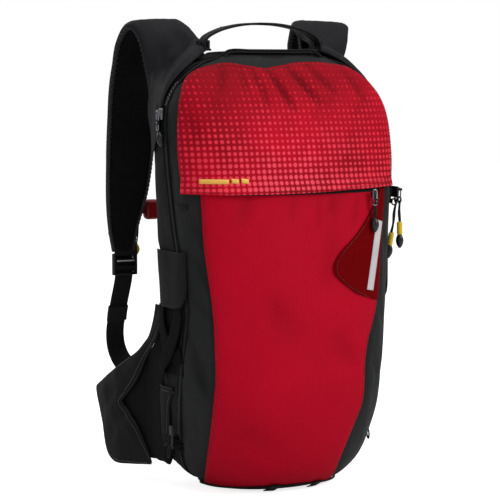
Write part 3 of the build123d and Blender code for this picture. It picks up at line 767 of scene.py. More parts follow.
def board_look(name):
    """Solder mask with faint tracks."""
    look = Look(name)
    tracks = look.node("TexBrick", {"Vector": look.space(), "Scale": 240.0, "Color1": srgb(12, 74, 46),
                                    "Color2": srgb(16, 88, 55), "Mortar": srgb(150, 120, 50)})
    return look.done(tracks.outputs[0], 0.35, look.bump(tracks.outputs[1], 0.1), coat=0.4)


FLOOR_GLOW = 0.8         # the camera sees the pale floor near white, yet it does not light the object


def floor_look():
    look = Look("studio_floor")
    tone = look.between(look.noise(1.5, 3.0), 0.3, 0.7, 0.985, 1.01)
    look.feed(look.shader.inputs["Emission Color"], (1, 1, 1, 1))
    seen = look.node("LightPath").outputs["Is Camera Ray"]
    look.feed(look.shader.inputs["Emission Strength"], look.math("MULTIPLY", seen, FLOOR_GLOW))
    return look.done(look.shade((0.9, 0.9, 0.9, 1), tone), 0.8, specular=0.2)


CLOTH_RED = cloth("red_twill", srgb(190, 8, 38), thread=0.9, twill=1.0, rough=0.6, sheen=0.0, vary=0.05,
                  crinkle=0.4, specular=0.05)
CLOTH_PATCH = cloth("dark_red_twill", srgb(112, 0, 4), thread=0.9, twill=1.0, rough=0.6, sheen=0.0, vary=0.06,
                    crinkle=0.3, specular=0.03)
# the second colour is the ground's lit colour, used for patches of painted light
CLOTH_PRINT = dotted_cloth("dotted_twill", srgb(150, 8, 26), srgb(196, 10, 38), srgb(228, 34, 56),
                           srgb(255, 82, 100))
CLOTH_GREY = cloth("grey_oxford", srgb(37, 38, 39), thread=0.8, rough=0.62, sheen=0.03, vary=0.12, ripstop=6.0,
                   crinkle=1.2)
CLOTH_SIDE = cloth("charcoal_cordura", srgb(27, 27, 28), thread=1.2, rough=0.74, sheen=0.03, vary=0.14)
CLOTH_STRAP = cloth("strap_ripstop", srgb(32, 31, 35), thread=0.8, rough=0.5, sheen=0.03, vary=0.08,
                    ripstop=5.0, crinkle=0.9)
CLOTH_WING = cloth("wing_cordura", srgb(26, 26, 27), thread=1.2, rough=0.68, sheen=0.03, vary=0.12, crinkle=0.9)
# near-black cloth: the lining of the CAD's inner parts, and painted shade in the strap recesses
CLOTH_DARK = cloth("lining_and_shade_cloth", srgb(12, 12, 13), thread=1.0, rough=0.85, sheen=0.0, vary=0.2)
MESH_BLACK = spaced_mesh("strap_mesh", srgb(17, 17, 18), srgb(4, 4, 5))
MESH_BACK = spaced_mesh("back_mesh", srgb(34, 34, 36), srgb(8, 8, 9), 3.4)
BINDING = webbing_look("edge_binding", srgb(18, 18, 19))
GATHER = webbing_look("gathered_edge", srgb(44, 44, 47))
WEBBING = webbing_look("black_webbing", srgb(13, 13, 14))
TAPE = webbing_look("zip_tape", srgb(17, 17, 18), 0.7)
THREAD = cloth("thread", srgb(92, 92, 96), thread=0.3, rough=0.5, vary=0.1)
THREAD_RED = cloth("red_thread", srgb(96, 4, 16), thread=0.3, rough=0.5, vary=0.1)
CORD = webbing_look("cord", srgb(20, 20, 22), 0.5)
RUBBER = moulded("grip_rubber", srgb(16, 17, 19), 0.3, 300.0)
PLASTIC = moulded("black_acetal", srgb(17, 17, 18), 0.4)
PLASTIC_GREY = moulded("grey_nylon", srgb(88, 90, 94), 0.5)
PLASTIC_RED = moulded("red_grip", srgb(150, 14, 20), 0.35)
PLASTIC_PALE = moulded("pale_bar", srgb(190, 192, 196), 0.35)
YELLOW = moulded("yellow_sleeve", srgb(236, 200, 40), 0.4)
SEAL = moulded("seal_rubber", srgb(30, 30, 32), 0.7)
REFLECTIVE = moulded("pale_transfer", srgb(206, 202, 204), 0.3, 900.0, 0.3)
LABEL = moulded("yellow_transfer", srgb(250, 190, 80), 0.4, 900.0, 0.3)
ZIP_METAL = metal_look("zip_metal", srgb(150, 152, 156), 0.3)
GUNMETAL = metal_look("dark_metal", srgb(52, 53, 56), 0.38)
ALLOY = metal_look("alloy", srgb(186, 188, 192), 0.35)
STEEL = metal_look("steel", srgb(150, 150, 154), 0.28)
BOARD = board_look("board_mask")


CAD_LOOKS = (
    (WEBBING, ("hip_webbing_left", "hip_webbing_right", "sternum_webbing_left", "sternum_webbing_right",
               "handle_anchors", "strap_anchors")),
    (PLASTIC, ("ladder_lock_left", "ladder_lock_right", "sternum_clips", "sternum_rails",
               "sternum_buckle_socket", "sternum_buckle_tongue", "trigger_housing", "control_case",
               "control_cover", "fan_housing", "fan_grille", "battery_pack", "impeller",
               "lower_zip_slider_left", "lower_zip_slider_right")),
    (ZIP_METAL, ("left_zip_slider",)),
    (GUNMETAL, ("booster_zip_slider", "main_zip_slider")),
    (ALLOY, ("frame_stays", "hip_buckle_frame", "hip_buckle_hook", "motor_case")),
    (STEEL, ("motor_shaft", "motor_bearings", "case_screws")),
    (PLASTIC_RED, ("trigger_handle",)),
    (PLASTIC_GREY, ("power_button", "frame_sheet")),
    (SEAL, ("valve_flap_front", "valve_flap_rear", "cables")),
    (BOARD, ("circuit_board",)),
    (MESH_BACK, ("intake_mesh",)),
    (CLOTH_DARK, ("tool_sleeve", "airbag_collar", "folded_airbag")))


def dress(material, nodes):
    """Gives carried-over CAD nodes a finished material."""
    for name in nodes:
        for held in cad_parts[name].material_slots:
            held.material = material


# ---------------------------------------------------------------- pack body

SEAM_HALF = 3.5
OPEN_ZIP = np.linspace(474, 500, 12)      # heights where the left zip shows its open teeth
RED_LEFT = edge_by_height([(-126, 3), (-127, 14), (-128, 36), (-126, 73), (-122, 119), (-120, 146), (-121, 197),
                           (-124, 240), (-129, 282), (-132, 314), (-133, 384)])
RED_RIGHT = edge_by_height([(60, 3), (55, 18), (52, 36), (59, 60), (71, 84), (82, 106), (84, 132), (84, 157),
                            (90, 185), (99, 205), (108, 231), (115, 293), (124, 361), (126, 384)])
PATCH_LEFT = edge_by_height([(107, 232), (75, 241), (53, 254), (38, 267), (36, 278), (46, 294), (74, 318),
                             (101, 350), (110, 362), (113, 372)])
PANEL_LEFT = [(-154, 369), (-157, 400), (-156, 430), (-149, 470), (-138, 496)]
PANEL_TOP = [(-138, 496), (-126, 508), (-105, 517), (-73, 523), (-48, 520), (-28, 517), (-8, 519), (30, 524),
             (75, 522), (108, 517), (130, 505)]
PANEL_RIGHT = [(136, 373), (147, 392), (152, 414), (152, 440), (148, 468), (140, 491), (130, 505)]
PANEL_BOTTOM = [(-154, 369), (-90, 367), (0, 367), (80, 370), (136, 373)]
PIPING_FOOT = 116.0                       # the rear piping ends here, clear of the lower zip sliders
# creases: start and end in (s, z), width and depth
FRONT_CREASES = (((-150, 345), (-128, 300), 6, 2.0), ((-146, 300), (-126, 250), 7, 2.4),
                 ((-150, 250), (-124, 215), 6, 1.8), ((-162, 208), (-124, 128), 5, 2.6),
                 ((-160, 184), (-126, 118), 4, 2.2), ((-150, 162), (-130, 122), 4, 1.8),
                 ((120, 330), (140, 280), 7, 1.8), ((112, 240), (132, 190), 7, 2.2),
                 ((92, 170), (120, 130), 6, 1.6))
RED_CREASES = (((40, 330), (22, 250), 12, 1.2), ((-70, 372), (-90, 330), 9, 1.2),
               ((60, 372), (20, 330), 9, 1.0), ((30, 200), (70, 150), 14, 1.2),
               ((-100, 90), (-40, 60), 12, 1.0), ((22, 370), (14, 318), 4, 1.3),
               ((36, 370), (42, 330), 4, 1.1), ((-14, 370), (-22, 332), 5, 1.0),
               ((78, 366), (66, 318), 5, 1.3), ((-60, 250), (-10, 190), 16, 1.2))
PANEL_CREASES = (((-26, 519), (0, 462), 5, 3.6), ((-46, 519), (-36, 468), 4.5, 2.4),
                 ((2, 521), (38, 470), 5, 3.2), ((32, 522), (64, 484), 4.5, 2.4),
                 ((-78, 521), (-98, 484), 5, 1.8), ((84, 519), (110, 468), 6, 2.0),
                 ((-60, 519), (-62, 480), 4, 1.6), ((-140, 470), (-128, 420), 6, 1.2))


def seam_edge(side, gap):
    """The s of a line beside the seam; a positive gap lies on the front compartment."""
    return lambda z: skin.seam_at(z, side) - side * gap


def folded(points, size, height, seed):
    """Loose cloth relief: long soft folds with a finer crumple over them."""
    long_folds = rumple(points, size, seed)
    fine = rumple(points, np.array(size) * 0.35, seed + 40)
    return height * (long_folds + 0.35 * fine)


def front_shell():
    """Cloth of the front compartment between the seams; it lies low under the red panel."""
    s, z = skin_grid(seam_edge(LEFT, SEAM_HALF), seam_edge(RIGHT, SEAM_HALF), 0.0, 535.0, 4.0)
    # painted shade: each crease's depth is also stored as a shade that darkens the cloth there
    grooves, painted_shade = creased(s, z, FRONT_CREASES, 4.5)
    relief = folded(skin.at(s, z), (26, 26, 60), 2.0, 3.0) * np.clip((z - 10) / 60, 0, 1) + grooves
    relief *= np.interp(z, [490, 512], [1.0, 0.45])
    beside = np.clip(np.maximum(RED_LEFT(z) - s, s - RED_RIGHT(z)) / 8, 0, 1)
    beside = np.maximum(beside, np.clip((z - 495) / 14, 0, 1))
    out = relief * beside - 2.5 * (1 - beside) + sewn_edge(s, z, 1.0, 4.0)
    sheet("front_cloth", skin.at(s, z, out), CLOTH_GREY, uv=(s, z), painted_shade=painted_shade)


def base_sag(s, z):
    """How much fuller the cloth hangs over the rounded foot, behind the seam."""
    around = np.minimum(np.abs(s), skin.round(z) - np.abs(s))
    behind = np.clip((around - 186) / 14, 0, 1) * np.exp(-((around - 208) / 24) ** 2)
    return 6.5 * behind * np.exp(-((z - 18) / 15) ** 2)


def rear_shell():
    """Cloth of the rear compartment, from the right seam past the wearer's back to the left seam."""
    def far_edge(z):
        return skin.round(z) + skin.seam_at(z, LEFT) - SEAM_HALF

    s, z = skin_grid(seam_edge(RIGHT, -SEAM_HALF), far_edge, 0.0, 536.0, 4.5)
    base = skin.at(s, z)
    loose = np.clip((76 - base[..., 1]) / 30, 0.05, 1) * np.clip((z - 10) / 50, 0, 1)
    under_flap = np.clip((z - 222) / 6, 0, 1) * np.clip((304 - z) / 6, 0, 1)
    relief = (folded(base, (60, 34, 46), 2.0, 11.0) - 0.4) * loose * (1 - 0.8 * under_flap)
    out = relief + sewn_edge(s, z, 1.0, 4.0) - 0.7 * under_flap + base_sag(s, z)
    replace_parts(sheet("rear_cloth", skin.at(s, z, out), CLOTH_SIDE, uv=(s, z)), "rear_compartment")


def closing_panels():
    """The top and base panels that close the skin."""
    for name, low, high, out in (("top_cloth", 528.0, skin.heights[-1], -0.7),
                                 ("base_cloth", skin.heights[0], 6.0, 0.5)):
        half = skin.round((low + high) / 2) / 2
        s, z = skin_grid(lambda h: 0 * h - half, lambda h: 0 * h + half, low, high, 4.0)
        around = s / half * skin.round(z) / 2
        sheet(name, skin.at(around, z, out), CLOTH_SIDE, uv=(s, z), thickness=0.8)


def over_top(offset, out):
    """The seam's line up the left side, over the top and down the right, shifted forward by offset."""
    heights = np.linspace(24, 530, 90)
    left = skin.at(skin.seam_at(heights, LEFT) + offset, heights, out)
    right = skin.at(skin.seam_at(heights, RIGHT) - offset, heights, out)
    rim = TOP_Z + 1.5 + out
    front = left[-1][1]
    top = [(-58, front - 0.5, rim), (-30, front - 2, rim), (0, front - 2.5, rim), (30, front - 2, rim),
           (58, front - 0.5, rim)]
    return np.vstack([left, top, right[::-1]])


def outward(path):
    """Rough outward direction from the pack's axis, for tapes and teeth along the seam."""
    away = path - np.array([0.0, 34.0, 0.0])
    away[:, 2] = np.clip(path[:, 2] - 500, 0, None) * 2
    return unit(away)


def seam_zip():
    """Recessed tape, coil teeth and piping along the seam between the compartments."""
    middle = smooth_curve(over_top(0, -1.4), 420)
    away = outward(middle)
    swept("seam_tape", middle, band(11, 1.0), TAPE, up=away)
    teeth = bead_rows("seam_teeth", over_top(0, 0.2), away, (1.3, 4.6, 1.6), 2.1, PLASTIC, zigzag=0.35)
    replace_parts(teeth, "zip_chains")
    s = skin.seam_at(OPEN_ZIP, LEFT)
    bead_rows("open_teeth", skin.at(s, OPEN_ZIP, 1.2), outward(skin.at(s, OPEN_ZIP)), (1.3, 3.4, 1.8), 2.3,
              ZIP_METAL, zigzag=0.9)
    tube("front_piping", smooth_curve(over_top(SEAM_HALF + 0.6, 0.9), 420), 1.05, BINDING)
    rear = smooth_curve(over_top(-SEAM_HALF - 1.6, 0.9), 420)
    tube("rear_piping", rear[rear[:, 2] > PIPING_FOOT], 0.8, BINDING)


def red_panel():
    s, z = skin_grid(RED_LEFT, RED_RIGHT, 3.0, 384.0, 4.0)
    # painted shade: each crease's depth is also stored as a shade that darkens the cloth there
    grooves, painted_shade = creased(s, z, RED_CREASES, 5.0)
    # painted shade: the panel also darkens slightly below 150 mm towards its foot
    painted_shade += np.clip((150 - z) / 400, 0, 1)
    relief = folded(skin.at(s, z), (70, 70, 110), 1.6, 21.0) + grooves
    points = skin.at(s, z, 1.6 + relief + sewn_edge(s, z, 1.3, 5.0))
    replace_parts(sheet("red_panel", points, CLOTH_RED, uv=(s, z), painted_shade=painted_shade), "front_compartment")
    for side, edge in ((LEFT, RED_LEFT), (RIGHT, RED_RIGHT)):
        line = [(edge(h) - side * 3.0, h) for h in np.linspace(12, 366, 12)]
        red_stitches(f"red_stitch_{TAG[side]}", line, 1.2, 160)


def dark_patch():
    """Darker patch that curves across the panel's right, sewn and edged along its curve."""
    s, z = skin_grid(PATCH_LEFT, lambda h: RED_RIGHT(h) - 1.0, 233.0, 372.0, 3.0)
    out = 2.9 + sewn_edge(s, z, 0.8, 3.0) + folded(skin.at(s, z), (50, 50, 80), 0.5, 5.0)
    sheet("pocket_patch", skin.at(s, z, out), CLOTH_PATCH, uv=(s, z))
    arc = [(PATCH_LEFT(h) + 3.0, h) for h in np.linspace(238, 366, 14)]
    red_stitches("patch_stitch", arc, 3.2, 120)
    skin_tube("patch_edge", [(PATCH_LEFT(h), h) for h in np.linspace(234, 370, 16)], 2.3, 0.7, CLOTH_PATCH)


def panel_grid():
    """(s, z) over the dotted panel: its four smooth edges joined by a Coons patch."""
    rows, cols = 54, 104
    left, right = smooth_curve(PANEL_LEFT, rows), smooth_curve(PANEL_RIGHT, rows)
    low, high = smooth_curve(PANEL_BOTTOM, cols), smooth_curve(PANEL_TOP, cols)
    u = np.linspace(0, 1, cols)[None, :, None]
    v = np.linspace(0, 1, rows)[:, None, None]
    ruled = (1 - v) * low[None] + v * high[None] + (1 - u) * left[:, None] + u * right[:, None]
    corners = ((1 - u) * (1 - v) * low[0] + u * (1 - v) * low[-1] + (1 - u) * v * high[0] + u * v * high[-1])
    grid = ruled - corners
    return grid[..., 0], grid[..., 1]


def dotted_panel():
    """Printed top panel with its hem, which stands off over the pocket zip."""
    s, z = panel_grid()
    # painted shade: each crease's depth is also stored as a shade that darkens the cloth there
    grooves, painted_shade = creased(s, z, PANEL_CREASES, 3.6)
    relief = folded(skin.at(s, z), (60, 60, 70), 1.2, 31.0) + grooves
    sewn = np.clip((z - 372) / 14, 0, 1)
    out = 3.8 + relief * (0.4 + 0.6 * sewn) + sewn_edge(s, z, 1.4, 4.0) * sewn
    out += (1 - sewn) * (3.4 + 0.4 * np.sin(s / 17))
    piece = sheet("dotted_panel", skin.at(s, z, out), CLOTH_PRINT, uv=(s, z), thickness=1.5, painted_shade=painted_shade)
    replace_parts(piece, "top_panel")
    for name, edge, points, inset, used, proud, count in (
            ("stitch_top", PANEL_TOP, 60, (0, -3.5), slice(3, -3), 3.3, 160),
            ("hem_low", PANEL_BOTTOM, 40, (0, 3.0), slice(1, -1), 7.0, 160),
            ("hem_high", PANEL_BOTTOM, 40, (0, 8.0), slice(1, -1), 6.0, 160),
            ("stitch_left", PANEL_LEFT, 40, (3.2, 0), slice(3, -1), 3.2, 120),
            ("stitch_right", PANEL_RIGHT, 40, (-3.2, 0), slice(3, -1), 3.2, 120)):
        line = smooth_curve(edge, points) + inset
        red_stitches("panel_" + name, line[used], proud, count)


def skin_bar(name, corners, out, material, thickness=0.5, step=2.0):
    """A thin four-cornered patch lying on the skin, corners given anticlockwise from the lower left."""
    a, b, c, d = np.array(corners, float)
    cols = max(int(np.linalg.norm(b - a) / step), 2) + 1
    rows = max(int(np.linalg.norm(d - a) / step), 2) + 1
    u, v = np.meshgrid(np.linspace(0, 1, cols), np.linspace(0, 1, rows))
    u, v = u[..., None], v[..., None]
    grid = (1 - v) * ((1 - u) * a + u * b) + v * ((1 - u) * d + u * c)
    s, z = grid[..., 0], grid[..., 1]
    return sheet(name, skin.at(s, z, out), material, uv=(s, z), thickness=thickness)


def transfers():
    """A pale upright bar on the pocket patch and three small yellow bars on the dotted panel."""
    skin_bar("pale_bar", [(84, 247), (95, 245), (115, 329), (104, 332)], 3.9, REFLECTIVE)
    for i, (start, width) in enumerate(((-133, 34), (-96, 9), (-84, 9))):
        stop = start + width
        skin_bar(f"yellow_bar_{i}", [(start, 381), (stop, 380), (stop, 385.5), (start, 386.5)], 5.9, LABEL, 0.4)


def pocket_zip():
    """Coil zip hidden under the dotted panel's lower edge."""
    line = [(-104, 373), (-60, 372), (0, 371.5), (60, 372), (114, 372)]
    path, up = skin_path(line, 1.4, 200)
    swept("pocket_zip_tape", path, band(12, 0.8), TAPE, up=up)
    path, up = skin_path(line, 2.3, 200)
    teeth = bead_rows("pocket_zip_teeth", path, up, (1.2, 3.6, 1.3), 1.9, PLASTIC, zigzag=0.3)
    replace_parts(teeth, "pocket_zip_chain")


def side_pocket(side):
    """Lower side pocket with a bound and stitched rim and front seam."""
    front = edge_by_height([(218, 16), (208, 24), (203, 40), (202, 100), (198, 116), (190, 130)])
    s, z = skin_grid(front, lambda h: 0 * h + 240, 16.0, 128.0, 3.5)

    def full(s, z):
        """How far the side pocket stands off the pack: most near its foot, nothing at its front seam."""
        across = np.clip((s - front(z)) / 22, 0, 1) * np.clip((246 - s) / 12, 0, 1)
        rise = np.interp(z, [16, 26, 44, 80, 128], [0.5, 4.5, 7.0, 4.5, 2.0])
        return 1.4 + np.sin(across * math.pi / 2) * rise + base_sag(s, z)

    out = full(s, z) + folded(skin.at(s, z), (26, 26, 34), 1.0, 45.0 + side)
    sheet(f"side_pocket_{TAG[side]}", skin.at(side * s, z, out), CLOTH_SIDE, uv=(s, z), thickness=1.0)
    rim = [(u, 128.0) for u in np.linspace(236, 192, 12)]
    seam = [(front(h), h) for h in np.linspace(124, 18, 14)]
    for name, line, radius, inset in (("rim", rim, 1.5, (0, -4.0)), ("seam", seam, 1.0, (3.5, 0))):
        curve = smooth_curve(line, 80)
        s, z = curve.T
        tube(f"pocket_{name}_{TAG[side]}", skin.at(side * s, z, full(s, z) + 0.4), radius, BINDING)
        s, z = (curve + inset).T
        path, up = skin_line(side * s, z, full(s, z) + 0.9)
        bead_rows(f"pocket_{name}_{TAG[side]}_stitch", path, up, STITCH, 3.6, THREAD)


def strap_recess(side):
    """Dark hollow behind the ski flap with a folded strap in it, and the garage above the seam's zip; the
    hollow's near-black sheet and the strap's darkest cloth are painted shade of the recess.
    """
    rows, cols = 30, 20
    z = np.repeat(np.linspace(232, 146, rows)[:, None], cols, 1)
    down = (232 - z) / 86
    start, stop = 166 + 4 * np.sin(down * 3), 226 + 8 * np.sin(down * 3.1)
    s = side * (start + (stop - start) * np.linspace(0, 1, cols))
    dip = np.sin(np.linspace(0, math.pi, cols)) * np.sin(np.linspace(0, math.pi, rows))[:, None]
    hollow = folded(skin.at(s, z), (24, 24, 30), 2.2, 51.0 + side)
    # painted shade: a near-black sheet laid on the skin stands for the shade of the hollow
    sheet(f"strap_hollow_{TAG[side]}", skin.at(s, z, 0.8 + hollow * dip), CLOTH_DARK, uv=(s, z), thickness=0.6)
    for k, line in enumerate(([(218, 232), (214, 206), (198, 182), (182, 170), (170, 172)],
                              [(222, 140), (212, 158), (198, 170), (184, 190), (174, 214), (176, 232)])):
        path, up = skin_path(np.array(line) * [side, 1], 2.4 + k, 60)
        lift = np.sin(np.linspace(0, math.pi, len(path)))[:, None] * 3.0
        # the folded strap takes the near-black cloth, partly its own dark webbing and partly painted shade of
        # the recess
        swept(f"folded_strap_{TAG[side]}_{k}", path + up * lift, band(20, 1.5), CLOTH_DARK, up=up)
    garage = np.array([(168, 349), (150, 349), (150, 355), (168, 355)]) * [side, 1]
    skin_bar(f"zip_garage_{TAG[side]}", garage, 2.6, BINDING, 1.2)


def ski_flap(side):
    """Stiff flap with a rounded lower front corner and two rows of stitches."""
    low, high, rear = 229.0, 298.0, 229
    front = edge_by_height([(164, low), (158, 237), (155, 255), (155, high)])

    def cut(s, z):
        """The flap's lower edge rises towards its front corner."""
        return z + 4.0 * np.clip((180 - s) / 22, 0, 1) * np.clip((255 - z) / 26, 0, 1)

    def lifted(s, z):
        """The flap is sewn flat at its rear and top and stands off at its lower front corner."""
        settled = 0.7 + 0.8 * np.clip((226 - s) / 14, 0, 1)
        return settled + 3.6 * np.clip((high - z) / 69, 0, 1) ** 1.2 * np.clip((226 - s) / 55, 0, 1)

    s, z = skin_grid(front, lambda h: 0 * h + rear, low, high, 3.0)
    z = cut(s, z)
    relief = folded(skin.at(s, z), (26, 26, 40), 0.5, 61.0 + side)
    piece = sheet(f"ski_flap_{TAG[side]}", skin.at(side * s, z, lifted(s, z) + relief), CLOTH_WING, uv=(s, z),
                  thickness=2.0)
    for k, inset in enumerate((3.5, 8.0)):
        line = [(front(h) + inset, max(h, low + inset)) for h in np.linspace(296, 233, 12)]
        line += [(u, low + inset) for u in np.linspace(182, 224, 6)]
        s, z = np.array(line).T
        z = cut(s, z)
        path, up = skin_line(side * s, z, lifted(s, z) + 1.0)
        bead_rows(f"ski_flap_stitch_{TAG[side]}_{k}", path, up, STITCH, 3.6, THREAD)
    if side == LEFT:
        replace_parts(piece, "ski_carry_flaps")


def base_trim():
    """Piping round the foot of the pack and two pull tabs under its front."""
    line = [(s, 6 + 3 * math.cos(s / 60)) for s in np.linspace(-158, 158, 40)]
    skin_tube("base_piping", line, 1.8, 1.5, BINDING, 200)
    for side in (LEFT, RIGHT):
        low, high = side * 30 - 6, side * 30 + 6
        skin_bar(f"base_tab_{TAG[side]}", [(low, 2), (high, 2), (high, 12), (low, 12)], 3.8, WEBBING, 1.4)


# ---------------------------------------------------------------- harness

STRAP_OUTER = [(-136, 78, 462), (-139, 84, 509), (-144, 88, 549), (-150, 99, 573), (-155, 120, 573),
               (-159, 139, 551), (-160, 149, 522), (-160.5, 157, 494), (-161, 161, 458), (-160.5, 167, 404),
               (-158.5, 172.5, 352), (-154, 176.5, 314), (-148, 178, 285)]
STRAP_NECK = [(-72, 62, 538), (-77, 76, 558), (-82, 91, 572), (-87, 110, 579), (-92, 128, 570), (-95, 143, 548),
              (-96.5, 152, 522), (-97, 158, 496), (-97, 161.5, 458), (-98, 167, 404), (-103, 172.5, 360),
              (-114, 177, 318), (-120, 178, 285)]
STRAP_RIM = [(-139, 70, 404), (-148, 50, 412), (-155, 30, 424), (-156, 19, 446), (-151, 18, 472),
             (-143, 20, 492), (-127, 23, 510), (-107, 27, 525), (-88, 36, 536), (-72, 50, 542)]
STRAP_THICK = 12.0
STRAP_CREASES = (((64, 8), (34, 84), 3.5, 2.4), ((80, 22), (56, 100), 3.5, 2.2),
                 ((34, 5), (18, 60), 3.5, 2.0), ((92, 60), (70, 130), 3.5, 1.8),
                 ((50, 4), (46, 50), 3.0, 1.6), ((20, 30), (44, 110), 3.5, 1.6))
WEBBING_LINE = [(-131, 173.5, 270.4), (-131, 174, 264), (-132, 176, 246), (-135, 185, 212), (-134.5, 197, 175),
                (-128, 198, 147), (-119, 175, 126), (-112, 130, 117), (-108, 90, 114)]
WEBBING_UP = np.array([0.0, 1.0, 0.35])


def mirror(points, side):
    return np.asarray(points, float) * np.array([-side, 1.0, 1.0])


def strap_section(outer, neck, tangent, angles, thick):
    """Points of the padded section at the given angles; 90 degrees is the outside of the strap."""
    across = unit(neck - outer)
    outside = unit(np.cross(across, tangent))
    middle = (outer + neck) / 2 - outside * thick / 2
    half = np.linalg.norm(neck - outer) / 2
    c, s = np.cos(angles), np.sin(angles)
    x = np.sign(c) * np.abs(c) ** (2 / 3.2) * half
    y = np.sign(s) * np.abs(s) ** (2 / 2.4) * thick / 2
    return middle + np.outer(x, -across) + np.outer(y, outside)


def strap_rows(side):
    """Matching rows of the strap's outer and neck edges with the tangent between them, as if on the left."""
    both = smooth_curve(np.hstack([STRAP_OUTER, STRAP_NECK]), 90)
    outer, neck = both[:, :3].copy(), both[:, 3:].copy()
    if side == RIGHT:
        spread = np.interp(outer[:, 2], [515, 555], [0, 7])
        outer[:, 0] -= spread
        neck[:, 0] += spread
    tangent = unit(np.gradient((outer + neck) / 2, axis=0))
    return outer, neck, tangent


def on_strap(piece):
    """Bakes the piece's placement into its mesh."""
    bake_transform(piece)


def strap_grid(side, angles, thick):
    """Points round the padded section at the given angles in degrees, row by row down the strap."""
    return np.array([strap_section(o, n, t, np.radians(angles), thick) for o, n, t in zip(*strap_rows(side))])


def shoulder_rows(strap, start, bulge):
    """Rows of cloth that leave the pack's rim and join the strap's row at start, as Hermite curves."""
    rim = resample(smooth_curve(STRAP_RIM[::-1], 60), strap.shape[1])
    first, second = strap[start], strap[start + 4]
    reach = 0.8 * np.linalg.norm(first - rim, axis=1, keepdims=True)
    leave = np.array([0.0, 0.25, 1.0]) * reach
    arrive = unit(second - first) * reach
    rows = []
    for t in np.linspace(0, 1, 26, endpoint=False):
        ease = 3 * t ** 2 - 2 * t ** 3
        row = (1 - ease) * rim + ease * first + t * (1 - t) ** 2 * leave + (t ** 3 - t ** 2) * arrive
        row[:, 2] += bulge * math.sin(t * math.pi / 2) ** 2
        rows.append(row)
    return np.array(rows)


def strap_cover(side):
    """Outer cloth: leaves the pack's rim, rises over the shoulder and wraps the strap's edges."""
    strap = strap_grid(side, np.linspace(-28, 208, 46), STRAP_THICK)[:, ::-1]
    start = 10
    bulge = 2.5 * np.sin(np.linspace(0, math.pi, strap.shape[1])) ** 0.8
    shoulder = shoulder_rows(strap, start, bulge)
    strap = strap[start:]
    strap[:, :, 2] += np.interp(np.arange(len(strap)), [0, 5, 22], [1.0, 0.9, 0.0])[:, None] * bulge
    grid = np.vstack([shoulder, strap])
    rows, cols = grid.shape[:2]
    u, v = np.meshgrid(run_length(grid[rows // 2]), run_length(grid[:, cols // 2]))
    loose = np.interp(np.arange(rows), [0, 8, 30, 60, rows - 1], [0.0, 1.0, 1.0, 0.35, 0.2])[:, None]
    # painted shade: each crease's depth is also stored as a shade that darkens the cloth there
    grooves, painted_shade = creased(u, v, STRAP_CREASES, 2.4)
    settled = np.clip(loose * 1.4, 0, 1)
    relief = folded(grid, (20, 20, 34), 1.8, 71.0) * loose + grooves * settled
    hemmed = np.clip(border_distance(grid) / 12, 0, 1)
    grid = mirror(grid + grid_normals(grid) * (relief * hemmed)[..., None], side)
    piece = sheet(f"strap_cover_{TAG[side]}", grid, CLOTH_STRAP, None, uv=(u, v), thickness=0.9,
                  inward=side == LEFT, painted_shade=painted_shade * settled)
    on_strap(piece)
    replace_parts(piece, f"shoulder_strap_{TAG[side]}")


def strap_lining(side):
    """Inner spacer mesh with the gathered edge where it meets the outer cloth."""
    grid = strap_grid(side, np.linspace(196, 344, 30), STRAP_THICK - 1.6)
    grid += rumple(grid, (14, 14, 20), 81.0)[..., None] * grid_normals(grid) * 0.5
    on_strap(sheet(f"strap_lining_{TAG[side]}", mirror(grid, side), MESH_BLACK, None, thickness=1.2,
                   inward=side == LEFT))
    step = np.arange(260)
    gathered = np.interp(step, [0, 40, 130, 170, 259], [0.3, 2.0, 2.0, 0.8, 0.4])
    for edge, angle in (("outer", 202), ("neck", 338)):
        line = smooth_curve(strap_grid(side, [angle], STRAP_THICK)[:, 0], len(step))
        line[:, 0] += np.sin(step * 1.6) * gathered
        line[:, 2] += np.cos(step * 1.6) * 0.5
        on_strap(tube(f"strap_gather_{edge}_{TAG[side]}", mirror(line, side), 1.9, GATHER, None))


def on_webbing(piece):
    """Bakes the piece's placement into its mesh."""
    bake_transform(piece)


def strap_trim(side):
    """Stitched seams down the strap and the webbing below it."""
    outer, neck, tangent = strap_rows(side)
    below_rim = 34
    out = unit(np.cross(unit(neck - outer), tangent))[below_rim:]
    for name, angle in (("outer", 160), ("neck", 20)):
        line = strap_grid(side, [angle], STRAP_THICK)[below_rim:, 0] + out * 0.6
        bead_rows(f"strap_stitch_{name}_{TAG[side]}", mirror(line, side), mirror(out, side), STITCH, 3.8,
                  THREAD, "harness")
    webbing = swept(f"strap_band_{TAG[side]}", smooth_curve(mirror(WEBBING_LINE, side), 120), band(25, 1.8),
                    WEBBING, None, WEBBING_UP)
    on_webbing(webbing)
    if side == LEFT:
        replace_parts(webbing, "strap_webbing")


def keeper_and_bead():
    """Elastic keeper round the left webbing and the yellow bead on a cord below the left strap."""
    around = smooth_curve([(-135, 184.5, 213), (-134.9, 188, 204), (-134.5, 191.5, 194)], 12)
    on_webbing(swept("webbing_keeper", around, band(28, 5.2), BINDING, None, WEBBING_UP))
    cord = smooth_curve([(-112, 172, 318), (-111, 176, 304), (-112, 178, 291)], 24)
    tube("bead_cord", cord, 0.9, CORD, "harness")
    drop = [(-112, 178, z) for z in np.linspace(293, 279, 12)]
    size = np.sin(np.linspace(0.35, math.pi - 0.35, 12))[:, None]
    swept("yellow_bead", drop, circle(4.2, 12), YELLOW, "harness", Y_AXIS, size)


# ---------------------------------------------------------------- hip wings

